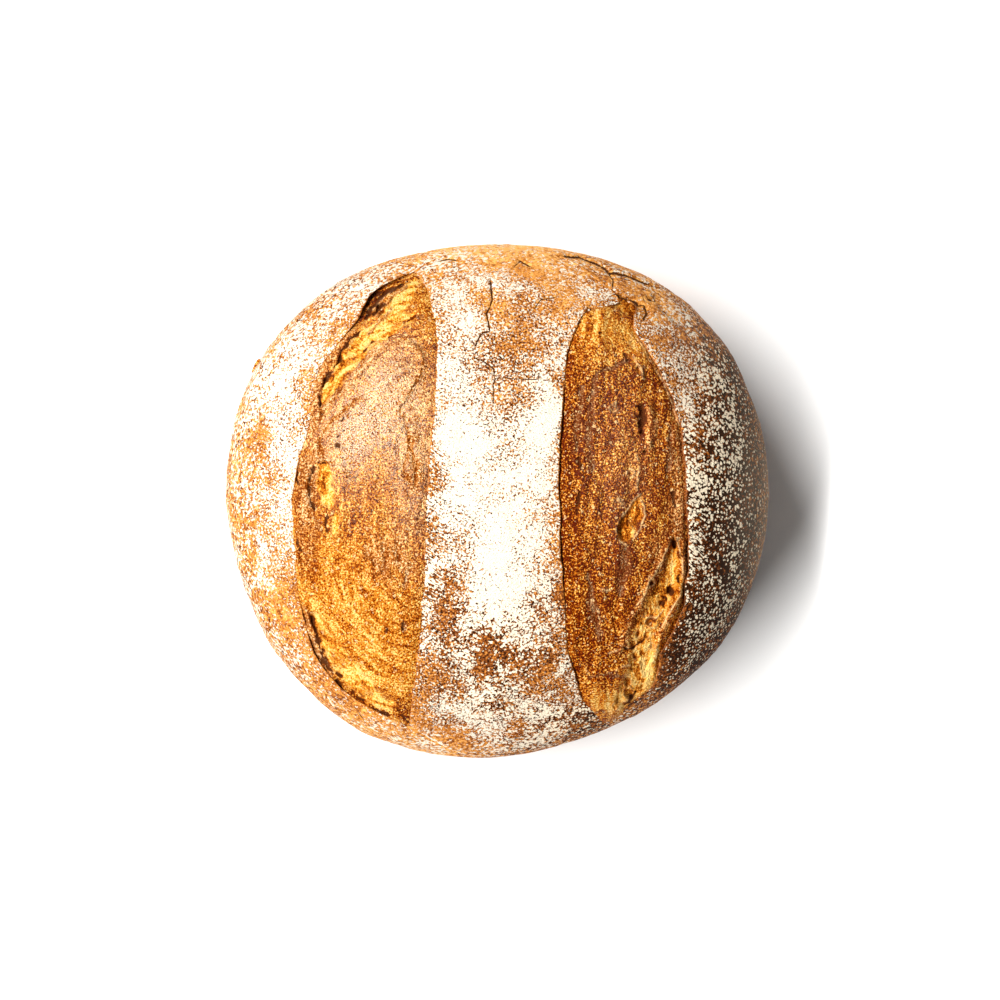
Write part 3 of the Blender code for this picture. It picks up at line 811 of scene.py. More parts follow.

# %% Creases
# They are shallow, and painted darker as shade: (line, half width or widths, depth)
CREASES = {
    "left": {
        "over the pillow's rim": ([(-70.4, 39.0), (-65.8, 44.6), (-61.6, 48.0), (-58.4, 52.2),
            (-54.8, 57.4), (-51.4, 60.8), (-47.8, 62.6)], [0.4, 0.7, 0.8, 0.8, 0.9, 0.8, 0.4], 0.9),
        "under the second fold": ([(-73.6, 18.0), (-72.6, 25.0), (-70.6, 29.8), (-66.0, 34.6),
            (-60.8, 39.0), (-57.0, 42.2)], [0.9, 0.8, 0.7, 0.7, 0.6, 0.3], 0.8),
        "pillow's right side": ([(-30.6, 57.6), (-31.0, 53.4), (-33.4, 48.4), (-37.0, 42.6)],
            [0.6, 0.9, 0.8, 0.5], 0.8),
        "ring over the pillow": ([(-45.4, 66.4), (-40.4, 67.4), (-35.4, 65.6), (-31.4, 62.4)],
            0.5, 0.4),
        "knot": ([(-47.3, -17.4), (-45.9, -24.1), (-47.4, -29.0)], [0.5, 1.1, 0.6], 1.1),
        "knot's side": ([(-54.0, -21.6), (-50.8, -26.0), (-46.6, -28.4)], [0.5, 0.9, 0.6], 0.9),
        "beside the knot": ([(-41.5, -17.5), (-41.0, -24.5)], 0.8, 0.6),
        "dimple": ([(-37.2, -29.3), (-38.6, -35.5)], 1.0, 0.7),
        "lower dimple": ([(-39.1, -48.7), (-38.3, -52.0)], 0.8, 0.6),
        "inner crease": ([(-40.3, 37.0), (-37.4, 28.5), (-36.0, 20.0), (-33.4, 13.9), (-34.2, 6.0)],
            [0.5, 0.9, 1.3, 1.2, 0.5], 0.9),
        "second inner crease": ([(-37.0, 20.0), (-39.0, 12.0), (-36.4, 6.5)], [0.5, 1.0, 0.6], 0.7),
        "over the middle tear": ([(-72.8, 19.0), (-69.0, 15.6), (-64.0, 13.4), (-60.0, 9.4)],
            [0.6, 0.9, 0.8, 0.4], 0.6),
        "under the middle tear": ([(-77.6, -4.2), (-74.6, -9.4), (-72.4, -13.4)], [0.5, 0.7, 0.4], 0.5),
        "tip's crease": ([(-39.0, 72.6), (-35.6, 74.8), (-31.4, 75.0)], 0.5, 0.5),
    },
    "right": {
        "cap's edge": ([(40.0, 51.8), (44.5, 53.6), (48.6, 55.5), (51.2, 57.0), (53.4, 57.8)],
            [0.4, 0.7, 0.9, 0.9, 0.5], 1.0),
        "long streak": ([(39.5, 52.0), (37.5, 40.7), (36.2, 24.5), (37.4, 12.0)],
            [0.5, 1.4, 1.6, 0.6], 0.6),
        "trough under the leaf": ([(51.2, -19), (50.4, -28), (49.4, -38)], [1.4, 2.4, 1.0], 0.9),
        "left trough": ([(33.4, 46.0), (31.4, 30.0), (31.0, 20.0)], [0.8, 1.6, 0.8], 0.5),
        "right streak": ([(69.4, 30.0), (69.8, 22.0), (68.6, 12.0)], [0.6, 1.2, 0.6], 0.6),
        "lower streak": ([(36.0, -30.0), (38.0, -44.0), (41.0, -56.0)], [0.8, 1.8, 0.8], 0.6),
        "tip's lines": ([(37.6, -72.4), (44.0, -71.4), (50.6, -72.2)], 0.6, 0.5),
        "tip's second line": ([(37.0, -88.6), (40.6, -87.4), (43.6, -87.2)], 0.5, 0.7),
    },
}
print("creases:", {side: len(CREASES[side]) for side in CREASES})

# %% Films and opened bubbles
# Thin pale films stand at the rims of opened bubbles: (line, half width or widths, height)
FILMS = {
    "left": {},
    "right": {
        "leaf's left rim": ([(56.9, 2.4), (52.5, -3.0), (48.2, -8.5), (47.0, -12.5), (49.2, -16.8),
            (52, -18.2)], 0.36, 0.7),
        "leaf's right rim": ([(57.0, 2.4), (58.6, -2), (58.9, -6), (57.6, -11), (53.5, -17.0)],
            0.3, 0.5),
        "over the leaf": ([(54.9, 21.0), (56.6, 15.5), (56.4, 9.5), (55.6, 4.5)], 0.4, 0.5),
        "ring": ([(44.6, 37.5), (46.4, 39.3), (48.2, 37.5), (46.4, 35.7), (44.6, 37.5)], 0.4, 0.35),
        "lower ring": ([(51.3, 11.0), (53.2, 12.9), (55.1, 11.0), (53.2, 9.1)], 0.4, 0.35),
        "broken film": ([(45.2, -0.4), (47.4, 1.3), (49.6, -1.0)], 0.7, 0.4),
        # A painted highlight: a pale line where the ear's edge catches the light, over a low ridge
        "lit ear's rim": ([(56.6, 66.6), (59.4, 61.6), (62.8, 56.0), (67.4, 47.4), (70.6, 40), (73, 31)],
            [0.2, 0.4, 0.4, 0.4, 0.3, 0.2], 0.4),
        "wedge's inner rim": ([(71.4, -14.6), (67.6, -20.6), (64.4, -27.6), (61.0, -33.4),
            (59.4, -38.0), (55.6, -42.8), (52.4, -48.6)],
            [0.15, 0.25, 0.3, 0.3, 0.3, 0.25, 0.15], 0.35),
        "wedge's outer rim": ([(71.8, -14.8), (74.0, -22), (75.0, -30), (73.8, -39), (69.6, -46),
            (65.6, -53)], [0.15, 0.25, 0.3, 0.3, 0.3, 0.2], 0.35),
        "first strand": ([(58.6, -47.4), (64.4, -48.0)], 0.35, 0.5),
        "second strand": ([(61.2, -51.6), (67.0, -45.0)], 0.35, 0.6),
        "third strand": ([(59.6, -49.6), (63.4, -44.4)], 0.3, 0.5),
        "first arc": ([(41.5, -36.2), (43.2, -36.9), (44.8, -36.5)], 0.4, 0.5),
        "second arc": ([(44.4, -62.4), (46.2, -61.6), (48.0, -61.0)], 0.45, 0.7),
        "third arc": ([(47.6, -69.6), (49.6, -68.2), (53.4, -67.4)], 0.45, 0.6),
        "under the cap": ([(54.5, 58.5), (57.2, 55.0), (58.6, 51.0)], 0.5, 0.4),
    },
}
# Opened bubbles: (right, back, half width, half length, turn, depth)
HOLLOWS = {
    "left": (
        (-44.0, 32.6, 1.0, 0.7, 30, 1.2), (-43.4, 28.2, 1.5, 1.0, 20, 1.4),
        (-46.6, 0.0, 0.6, 0.6, 0, 0.7), (-57.6, 9.6, 0.6, 0.6, 0, 0.5),
        (-59.0, -24.0, 0.7, 0.6, 0, 0.5), (-40.2, -73.0, 0.7, 0.6, 0, 0.5),
    ),
    "right": (
        (52.8, 56.6, 1.1, 1.7, -30, 0.9), (57.0, 52.8, 1.0, 2.2, -22, 1.5),
        (46.2, 37.4, 1.4, 1.6, 0, 0.7), (53.0, 11.0, 1.4, 1.3, 0, 0.6), (47.2, -1.4, 1.6, 1.3, 30, 0.7),
        (54.2, 64.2, 0.9, 1.3, 0, 0.6), (62.0, -33.6, 1.1, 1.2, 0, 1.6),
        (61.7, -49.8, 2.4, 1.7, 75, 1.9), (60.3, -55.0, 1.2, 1.6, 20, 1.3),
        (56.8, -54.2, 0.9, 1.8, 20, 1.0), (62.6, -60.0, 1.4, 1.0, 80, 1.3),
        (54.4, -58.4, 2.2, 1.5, 60, 0.9), (55.3, -63.6, 1.4, 0.8, 75, 1.5),
        (58.4, -66.4, 0.9, 0.8, 0, 0.8), (52.6, -74.4, 2.8, 1.5, 75, 1.9),
        (53.4, -79.6, 2.6, 1.9, 60, 1.8), (47.4, -85.1, 1.2, 0.8, 70, 0.8),
    ),
}
print("films:", {side: len(FILMS[side]) for side in FILMS})
print("opened bubbles:", {side: len(HOLLOWS[side]) for side in HOLLOWS})

# %% Shapes of the named forms
RIM_AT, RIM_WIDTH, RIM_HEIGHT = 1.12, 0.3, 0.2  # a bubble's rim: share of the oval, millimetres
UNEVEN, FRAYED = (2.2, 0.55), (1.8, 1.3)  # the widths of folds and of slits vary: (distance, share)
RAG, BRIDGE = 0.25, 0.5  # how ragged the edge of a tear is, and how far skin still spans it
# How far the lines of each kind sway: (in long wanders, in short ones)
SWAYS = {
    "folds": (0.5, 0.0), "tears": (0.8, 0.4), "slits": (0.5, 0.6), "creases": (0.5, 0.6),
    "films": (0.4, 0.25), "hollows": (0.3, 0.2), "crumb": (0.5, 0.35),
}


def drawn(points, features, bell, thickness=1.0):
    """Two sums over features with these lines: how much of each is here, as its largest share, and
    the heights. A bell falls off smoothly from its line; otherwise the form is flat with soft rims.
    thickness widens or thins the lines from place to place."""
    share, height = np.zeros(points.shape[:-1]), np.zeros(points.shape[:-1])
    for line, widths, size in features.values():
        reach = from_line(points, line, widths)[0] / thickness
        here = np.exp(-(reach**2)) if bell else 1 - smooth_step(0.5, 1.25, reach)
        share = np.maximum(share, here)
        height += size * here
    return share, height


def opened(points, hollows):
    """Opened bubbles: how much of their bowls and of their thin rims is here, and the height. A bowl is
    the root of a parabola of the distance from its middle, and the rim a bell just outside it."""
    bowl, rim, height = np.zeros((3, *points.shape[:-1]))
    for right, back, wide, long, turn, deep in hollows:
        reach = in_oval(points, right, back, wide, long, turn)
        inside = np.clip(1 - reach**2, 0, 1)
        edge_here = np.exp(-(((reach - RIM_AT) * min(wide, long) / RIM_WIDTH) ** 2))
        bowl, rim = np.maximum(bowl, inside), np.maximum(rim, edge_here)
        height += RIM_HEIGHT * edge_here - deep * np.sqrt(inside)
    return bowl, rim * (1 - bowl), height


def named_forms(side, at, bend, wander, rough):
    """How much of each kind of form is here, and the height they add. at holds the swayed points."""
    uneven = 1 + UNEVEN[1] * turned_noise(at["plain"], UNEVEN[0], 73)
    frayed = np.clip(1 + FRAYED[1] * turned_noise(at["plain"], FRAYED[0], 76), 0.2, 1.8)
    folds, fold_height = drawn(at["folds"], FOLDS[side], True, uneven)
    torn, tear_depth = drawn(at["tears"], TEARS[side], False)
    slits, slit_depth = drawn(at["slits"], SLITS[side], True, frayed)
    creases, crease_depth = drawn(at["creases"], CREASES[side], True, 0.5 * (frayed + uneven))
    films, film_height = drawn(at["films"], FILMS[side], True)
    bowls, rims, bowl_height = opened(at["hollows"], HOLLOWS[side])
    bridges = smooth_step(0, 0.6, bend[..., 1] + wander[..., 1])
    torn = smooth_step(0.15, 0.85, torn + RAG * rough[..., 0] - BRIDGE * bridges)
    shares = {"folds": folds, "torn": np.clip(torn - folds, 0, 1), "slits": slits, "creases": creases}
    shares |= {"films": films, "bowls": bowls, "rims": rims}
    return shares, fold_height - tear_depth - slit_depth - crease_depth + film_height + bowl_height


places = np.zeros((3, 3))
places[:, 0] = (0, 1, 2)
share, _ = drawn(places, {"straight": ([(0, -9), (0, 9)], 1.0, 1.0)}, True)
print("a bell 0, 1 and 2 half widths from its line:", np.round(share, 2))

# %% [markdown]
# ### Skin and crumb
#
# The skin dried in strands that run along the score. On the left they bend round a line in the middle,
# because the dough welled up there. Torn crumb is a foam: its bubbles are cells round random places,
# and their walls lie where two places are equally near.

# %% Strands and bubbles
SKIN = {  # relief of the baked skin: (across its strands, along them, height)
    "left": ((9, 30, 0.8), (3.4, 12, 0.45), (1.7, 5.5, 0.28), (1.1, 1.5, 0.16)),
    "right": ((8, 26, 0.9), (3.0, 12, 0.55), (1.8, 4.2, 0.32), (1.1, 1.4, 0.2)),
}
RINGED_LINE = (-28.0, -24.0, 25.0)  # the left strands ring a line: how far right it lies, its ends
RING_RADIUS = 30.0
FIBRES = ((1.5, 7.0, 0.5), (0.8, 3.0, 0.5))  # streaks of colour, as the relief
GAP_STRANDS = ((1.6, 6, 0.7),)  # strands that show in the gap
SHEET = 1.0  # strands lie on a flat sheet, where the third size of their noise has no effect
CRUMB_OPEN = {  # how open the bubbles of torn crumb are: (distance to the back, share)
    "left": [(-95, 0.6), (-20, 0.6), (0, 0.9), (18, 0.9), (34, 0.5), (95, 0.5)],
    "right": [(-90, 0.85), (-20, 0.8), (-13, 0.1), (90, 0.3)],
}
# Bubbles of the crumb: (width, length, depth)
BUBBLES = {"left": (2.2, 3.2, 0.4), "right": (3.4, 4.4, 1.3)}
SMALLER, SMALL_SHARE = 2.2, 0.45  # the bubbles between them: times smaller, and how far they open
WALL, SMALL_WALL = (0.02, 0.24), (0.05, 0.3)  # from the middle of a wall to its foot, in bubbles
DENSE = (7.0, -0.7, 0.2)  # where the crumb is dense: (distance, noise at which it is closed, and open)
PLACES = 64  # random places along each side of the grid, before they repeat


def along_strands(side, points):
    """Where a point lies across and along the strands of the skin. On the right they run straight back.
    On the left they ring a line: the distance from it, and the way round it."""
    right, back = points[..., 0], points[..., 1]
    if side == "right":
        return np.stack([right, back, 0 * back], -1)
    line, front_end, back_end = RINGED_LINE
    beyond = back - np.clip(back, front_end, back_end)
    way = back - beyond + RING_RADIUS * np.arctan2(beyond, line - right)
    return np.stack([np.hypot(right - line, beyond), way, 0 * back], -1)


def strand_noise(strand, layers, seed):
    """Layers of noise across and along the strands, each (across, along, height), added up."""
    return sum(
        height * lattice_noise(strand, (wide, long, SHEET), seed + k)
        for k, (wide, long, height) in enumerate(layers)
    )


def cell_walls(points, wide, long, seed):
    """Bubbles of a crumb: one place is drawn at random in each cell of a grid. How much farther the
    second nearest place is than the nearest one, which is 0 on the walls between bubbles."""
    where = points[..., :2] / [wide, long]
    cell = np.floor(where).astype(int)
    places = np.random.default_rng(seed).uniform(0.05, 0.95, (PLACES, PLACES, 2))
    nearest, second = np.full((2, *where.shape[:-1]), np.inf)
    for step in np.ndindex(3, 3):
        near = cell + np.array(step) - 1
        drawn_place = places[near[..., 0] % PLACES, near[..., 1] % PLACES]
        distance = np.linalg.norm(where - near - drawn_place, axis=-1)
        second = np.minimum(second, np.maximum(nearest, distance))
        nearest = np.minimum(nearest, distance)
    return second - nearest


def crumb_pores(side, points, crumpled):
    """How open the crumb is here, from 0 on a wall to 1: large bubbles with small ones among them,
    closed where the crumb is dense."""
    wide, long, _ = BUBBLES[side]
    distance, closed, loose = DENSE
    pore = smooth_step(*WALL, cell_walls(crumpled, wide, long, 91))
    pore *= smooth_step(closed, loose, turned_noise(points, distance, 99))
    small = smooth_step(*SMALL_WALL, cell_walls(crumpled, wide / SMALLER, long / SMALLER, 92))
    where, share = np.array(CRUMB_OPEN[side]).T
    return pore * (1 - SMALL_SHARE + SMALL_SHARE * small) * np.interp(points[..., 1], where, share)


walls = cell_walls(np.random.default_rng(2).uniform(0, 99, (999, 2)), 2.2, 3.2, seed=91)
print("a wall is nearer than a tenth of a bubble at", round(100 * np.mean(walls < 0.1)), "% of places")

# %% [markdown]
# ### Colour of the bursts
#
# A burst is browner where it was bare the longest, and mauve grey where the skin dried over a hollow
# or a fold. The left pillow is pale with dried starch, and painted glints crowd there. Slits, creases
# and the deep gap are darkened as painted shade. The fields are made of soft patches, as the crust's are.

# %% Colour patches of the bursts
BURST_BAKE = {"left": 0.47, "right": 0.80}
# Patches that are browner, and one strip of painted shade: (right, back, reach right, reach back, how much)
BURST_BAKES = {
    "left": (
        (-29, 10, 9, 60, 0.12), (-76, 45, 5, 20, 0.25), (-42, 52, 10, 12, 0.05),
        (-58, -55, 22, 26, -0.12), (-55, 76, 18, 12, -0.1), (-39, -87, 5, 5, 0.34),
        (-80, 0, 3, 26, 0.2), (-48, -24, 9, 9, 0.14), (-50, 24, 9, 12, 0.08), (-56, 4, 16, 22, 0.06),
        (-36, 0, 8, 30, 0.06), (-77, 2, 3, 16, 0.18), (-71, 4, 5, 12, 0.1), (-50, -81, 9, 5, 0.1),
        (-62, -68, 14, 18, 0.05),
    ),
    "right": (
        (46, 70, 22, 14, -0.54), (54, 79, 6, 5, 0.45), (62, 66, 8, 14, -0.12), (58, -70, 8, 14, -0.26),
        (48, -84, 14, 8, -0.54), (72, -34, 4, 12, -0.62), (62, -66, 4, 12, -0.62),
        # (26.5, 0) darkens a strip beside the inner edge, where the crust's edge casts its shadow: painted
        # shade
        (60, 5, 6, 60, -0.04), (53, -6, 5, 9, 0.16), (26.5, 0, 3.0, 70, 0.14), (30, 30, 7, 16, 0.1),
        (50, 20, 10, 22, -0.04),
    ),
}
MAUVES = {
    "left": (
        (-33, 24, 8, 34, 0.6), (-76, 42, 5, 24, 1.0), (-44, 50, 10, 14, 0.35), (-79, -2, 4, 22, 0.8),
        (-46, -23, 9, 9, 0.7), (-56, 18, 12, 14, 0.15), (-36, -30, 8, 16, 0.2), (-68, 26, 6, 12, 0.4),
    ),
    "right": ((73, 30, 3, 36, 0.4), (72, -8, 3, 10, 0.4), (66, -22, 4, 8, 0.4), (52, 10, 8, 16, 0.2)),
}
BLOOMS = {  # where the skin is pale with a bloom of dried starch, and painted glints crowd
    "left": (
        (-45, 42, 14, 20, 1.0), (-62, 26, 10, 14, 0.9), (-35, 12, 9, 24, 0.45), (-58, 6, 16, 20, 0.1),
    ),
    "right": ((48, 20, 14, 40, 0.08),),
}
STREAKY = {"left": 0.31, "right": 0.34}  # how far the fibres streak the colour
LINED = {"left": 0.8, "right": 0.3}  # how mauve its folds and creases are
BAKE_UNEVEN = (9.0, 0.10)  # (distance, share)
CREASE_SHADE, GAP_SHADE = 1.1, 0.3  # how much a crease and the deep gap are darkened: painted shade
# Mauve on average, and how far noise (distance, share) and fibres vary it
MAUVE_MEAN, MAUVE_UNEVEN, MAUVE_FIBRE = 0.8, (4.0, 0.9), 0.9
WHOLE = 2.4  # films are broken at about this distance


def burst_fields(side, points, forms, fibre, in_gap):
    """Numbers for the material, from the shares of the named forms. fibre streaks most of them, and
    in_gap is how deep in the gap a point lies."""
    torn, folds, creases = forms["torn"], forms["folds"], forms["creases"]
    bake = BURST_BAKE[side] + soft_patches(points, BURST_BAKES[side])
    bake += BAKE_UNEVEN[1] * turned_noise(points, BAKE_UNEVEN[0], 95)
    # creases and the deep gap are darkened: painted shade
    bake += CREASE_SHADE * creases + GAP_SHADE * in_gap
    distance, share = MAUVE_UNEVEN
    uneven = MAUVE_MEAN + share * turned_noise(points, distance, 96) + MAUVE_FIBRE * fibre
    mauve = soft_patches(points, MAUVES[side]) * uneven
    mauve = np.maximum(mauve, LINED[side] * folds) + LINED[side] * creases
    whole = smooth_step(-0.6, 0.1, turned_noise(points, WHOLE, 75))
    return {
        "torn": torn,
        "mauve": np.clip(mauve, 0, 2) * (1 - torn),
        # painted shade: dark in slits, in streaks deep in the gap and along creases
        "dark": np.clip(np.maximum(forms["slits"], forms["streaks"]) + 0.4 * creases**3, 0, 1),
        "bake": bake,
        "bloom": np.clip(soft_patches(points, BLOOMS[side]), 0, 1) * (1 - torn),
        "fibre": 0.5 + STREAKY[side] * fibre,
        "pore": np.maximum(forms["pores"] * torn, forms["bowls"]),
        "film": np.maximum(forms["films"], 0.4 * forms["rims"]) * whole,
    }


print("patches of bake:", {side: len(BURST_BAKES[side]) for side in BURST_BAKES})

# %% [markdown]
# ### A whole burst
#
# The height over the plain loaf is the sum of the body, the named forms, and the relief of the skin
# or, in a tear, of the crumb. The burst then runs on under the torn edges and closes underneath.

# %% Relief of a burst
BEND, WANDER, ROUGH = (9.0, 77), (3.5, 71), (1.4, 97)  # sways: (distance, seed)
STRAND_BEND = 2.0
CRUMB_LUMPS = (2.6, 0.5)  # (distance, height)
IN_GAP, STREAKED = (1.0, 2.4), (1.6, 3.0)  # depths of the gap between which painted shade darkens it, and dark streaks of painted shade show
GAP_ROUGH = 0.4


def burst_relief(side, points, across, to_ear, to_inner):
    """Height over the plain loaf, and the fields for the material."""
    full = taper(side, points[..., 1])
    bend, wander, rough = (sway(points, size, seed) for size, seed in (BEND, WANDER, ROUGH))
    strand = along_strands(side, points + STRAND_BEND * bend)
    at = {kind: points + long * wander + short * rough for kind, (long, short) in SWAYS.items()}
    at["plain"] = points
    height, gap = burst_body(side, points, across, to_ear, to_inner)
    forms, forms_height = named_forms(side, at, bend, wander, rough)
    height += forms_height
    torn, bowls = forms["torn"], forms["bowls"]
    pores = np.maximum(crumb_pores(side, points, at["crumb"]), bowls)
    skin = strand_noise(strand, SKIN[side], 80)
    distance, size = CRUMB_LUMPS
    crumb = size * turned_noise(points, distance, 93) - BUBBLES[side][2] * pores * (1 - bowls)
    height += full * (1 - torn) * skin + full * torn * crumb
    in_gap = smooth_step(*IN_GAP, gap)
    height += in_gap * (strand_noise(strand, GAP_STRANDS, 94) + GAP_ROUGH * rough[..., 0])
    fibre = strand_noise(strand, FIBRES, 85)
    # Dark streaks deep in the gap: painted shade
    streaks = smooth_step(-0.1, 0.5, fibre + 0.5 * rough[..., 1]) * smooth_step(*STREAKED, gap)
    forms |= {"pores": pores, "streaks": 0.9 * streaks}
    return height, burst_fields(side, points, forms, fibre, in_gap)


middle = dome_over(np.array([50.0]), np.array([0.0]))
height, _ = burst_relief("right", middle, 0.5 * np.ones(1), 25 * np.ones(1), 25 * np.ones(1))
print("the right burst's middle stands", round(height[0], 1), "mm over the plain loaf")

# %% Build the bursts
TUCK = ((0.7, -1.6), (1.7, -3.0), (2.6, -4.8))  # how far under the crust it goes: (sideways, down)
TUCK_SLANT = 4.0  # where an edge slants, the way under it is up to this much longer
BURST_FLOOR = -9.5
ACROSS_COLUMNS, UNDER_COLUMNS = {"left": 148, "right": 136}, 10
ROW_GAP = 0.42
TIP_GAP = 0.3  # the rows end this far before the score's tips


def burst_grid(side):
    """Points and fields of one burst: across it from one tuck to the other, back underneath, and so
    on for every row from the front tip to the back tip."""
    (front_tip, _), (back_tip, _) = EDGES[side]["inner"][0], EDGES[side]["inner"][-1]
    rows = int((back_tip - front_tip) / ROW_GAP)
    back = np.linspace(front_tip + TIP_GAP, back_tip - TIP_GAP, rows)
    outer, inner = edge(side, "outer", back), edge(side, "inner", back)
    left, right = (outer, inner) if side == "left" else (inner, outer)
    share = np.linspace(0, 1, ACROSS_COLUMNS[side])
    tuck = np.array(TUCK)
    full = taper(side, back)[:, None]
    lengths = (np.hypot(1, np.gradient(line, back)) for line in (left, right))
    slant = [np.clip(length, 1, TUCK_SLANT)[:, None] for length in lengths]
    top = left[:, None] + (right - left)[:, None] * share
    before = left[:, None] - full * tuck[::-1, 0] * slant[0]
    after = right[:, None] + full * tuck[:, 0] * slant[1]
    under = np.linspace(1, 0, UNDER_COLUMNS + 2)[1:-1]
    below = before[:, :1] + (after[:, -1:] - before[:, :1]) * under
    x = np.hstack([before, top, after, below])
    down = np.concatenate([tuck[::-1, 1], 0 * share, tuck[:, 1], np.full(UNDER_COLUMNS, BURST_FLOOR)])
    points = dome_over(x, back[:, None] + 0 * x)
    to_ear = np.abs(x - outer[:, None])
    to_inner = np.abs(x - inner[:, None])
    across = to_inner / np.maximum(to_inner + to_ear, 1e-6)
    height, fields = burst_relief(side, points, across, to_ear, to_inner)
    lying_under = down <= BURST_FLOOR
    points[..., 2] += np.where(lying_under, 0, height) + full * down
    for key in fields:
        fields[key] = np.where(lying_under, 0, fields[key])
    points[0] = points[0].mean(axis=0)
    points[-1] = points[-1].mean(axis=0)
    return points, fields


doughs = {}
for side in EDGES:
    doughs[side] = add_piece(f"burst_{side}", *burst_grid(side), "burst")

# %% [markdown]
# ## Scrap of dough
#
# A small scrap of torn dough baked on to the left rim. It is a short roll between two points, whose
# thickness wanders, with the finish of the bursts.

# %% Build the scrap
SCRAP_ENDS = np.array([[-100.6, 59.2, 43.5], [-103.6, 53.8, 39.5]])
SCRAP_RADIUS = 1.15  # at its thickest
SCRAP_ROWS, SCRAP_COLUMNS = 28, 24
SCRAP_DENTS = (1.6, 0.45)  # (distance, share of the radius)
SCRAP_LOOK = {
    "torn": 0, "mauve": 0, "dark": 0, "film": 0, "pore": 0, "bake": 0.42, "bloom": 0, "fibre": 0.5,
}


def scrap_grid():
    """Rows along the roll: the radius is the root of the sine of the way from end to end, which gives
    blunt ends, and smooth noise dents it."""
    way = np.linspace(0, math.pi, SCRAP_ROWS)[:, None]
    round_it = np.arange(SCRAP_COLUMNS) / SCRAP_COLUMNS * 2 * math.pi
    run = SCRAP_ENDS[1] - SCRAP_ENDS[0]
    axis = run / np.linalg.norm(run)
    sideways = np.cross(axis, [0, 0, 1])
    upward = np.cross(sideways, axis)
    radius = SCRAP_RADIUS * np.sqrt(np.clip(np.sin(way), 0, 1))
    middle = SCRAP_ENDS.mean(axis=0) - 0.5 * run * np.cos(way)[..., None]
    out = np.cos(round_it)[:, None] * upward + np.sin(round_it)[:, None] * sideways
    distance, share = SCRAP_DENTS
    dents = 1 + share * turned_noise(middle + radius[..., None] * out, distance, 101)
    return middle + radius[..., None] * out * dents[..., None]


scrap_points = scrap_grid()
scrap_fields = {name: np.full(scrap_points.shape[:2], float(look)) for name, look in SCRAP_LOOK.items()}
doughs["scrap"] = add_piece("scrap", scrap_points, scrap_fields, "burst")

# %% [markdown]
# ## Finish
#
# The colours are worked out in the materials, from the fields stored at the vertices and from noise
# in the object's own coordinates, so they keep their size on the loaf. Node graphs are hard to read
# as code, so a small class lets Python's own arithmetic stand for Math nodes.

# %% Shader maths in plain Python
SPECULAR = 0.02  # flour and crust hardly shine


class Wire:
    """A socket of a finish. Arithmetic on it adds Math nodes."""

    def __init__(self, finish, socket):
        self.finish = finish
        self.socket = socket

    def math(self, operation, *values):
        return self.finish.node("ShaderNodeMath", {"operation": operation}, dict(enumerate(values)))

    def __add__(self, other):
        return self.math("ADD", self, other)

    def __sub__(self, other):
        return self.math("SUBTRACT", self, other)

    def __rsub__(self, other):
        return self.math("SUBTRACT", other, self)

    def __mul__(self, other):
        return self.math("MULTIPLY", self, other)

    __radd__ = __add__
    __rmul__ = __mul__

    def size(self):
        return self.math("ABSOLUTE", self)

    def at_least(self, other):
        return self.math("MAXIMUM", self, other)

    def ramp(self, low, high):
        """0 at low, 1 at high and an eased ramp between; low may be the higher of the two."""
        sockets = {"Value": self, "From Min": low, "From Max": high}
        return self.finish.node("ShaderNodeMapRange", {"interpolation_type": "SMOOTHSTEP"}, sockets)


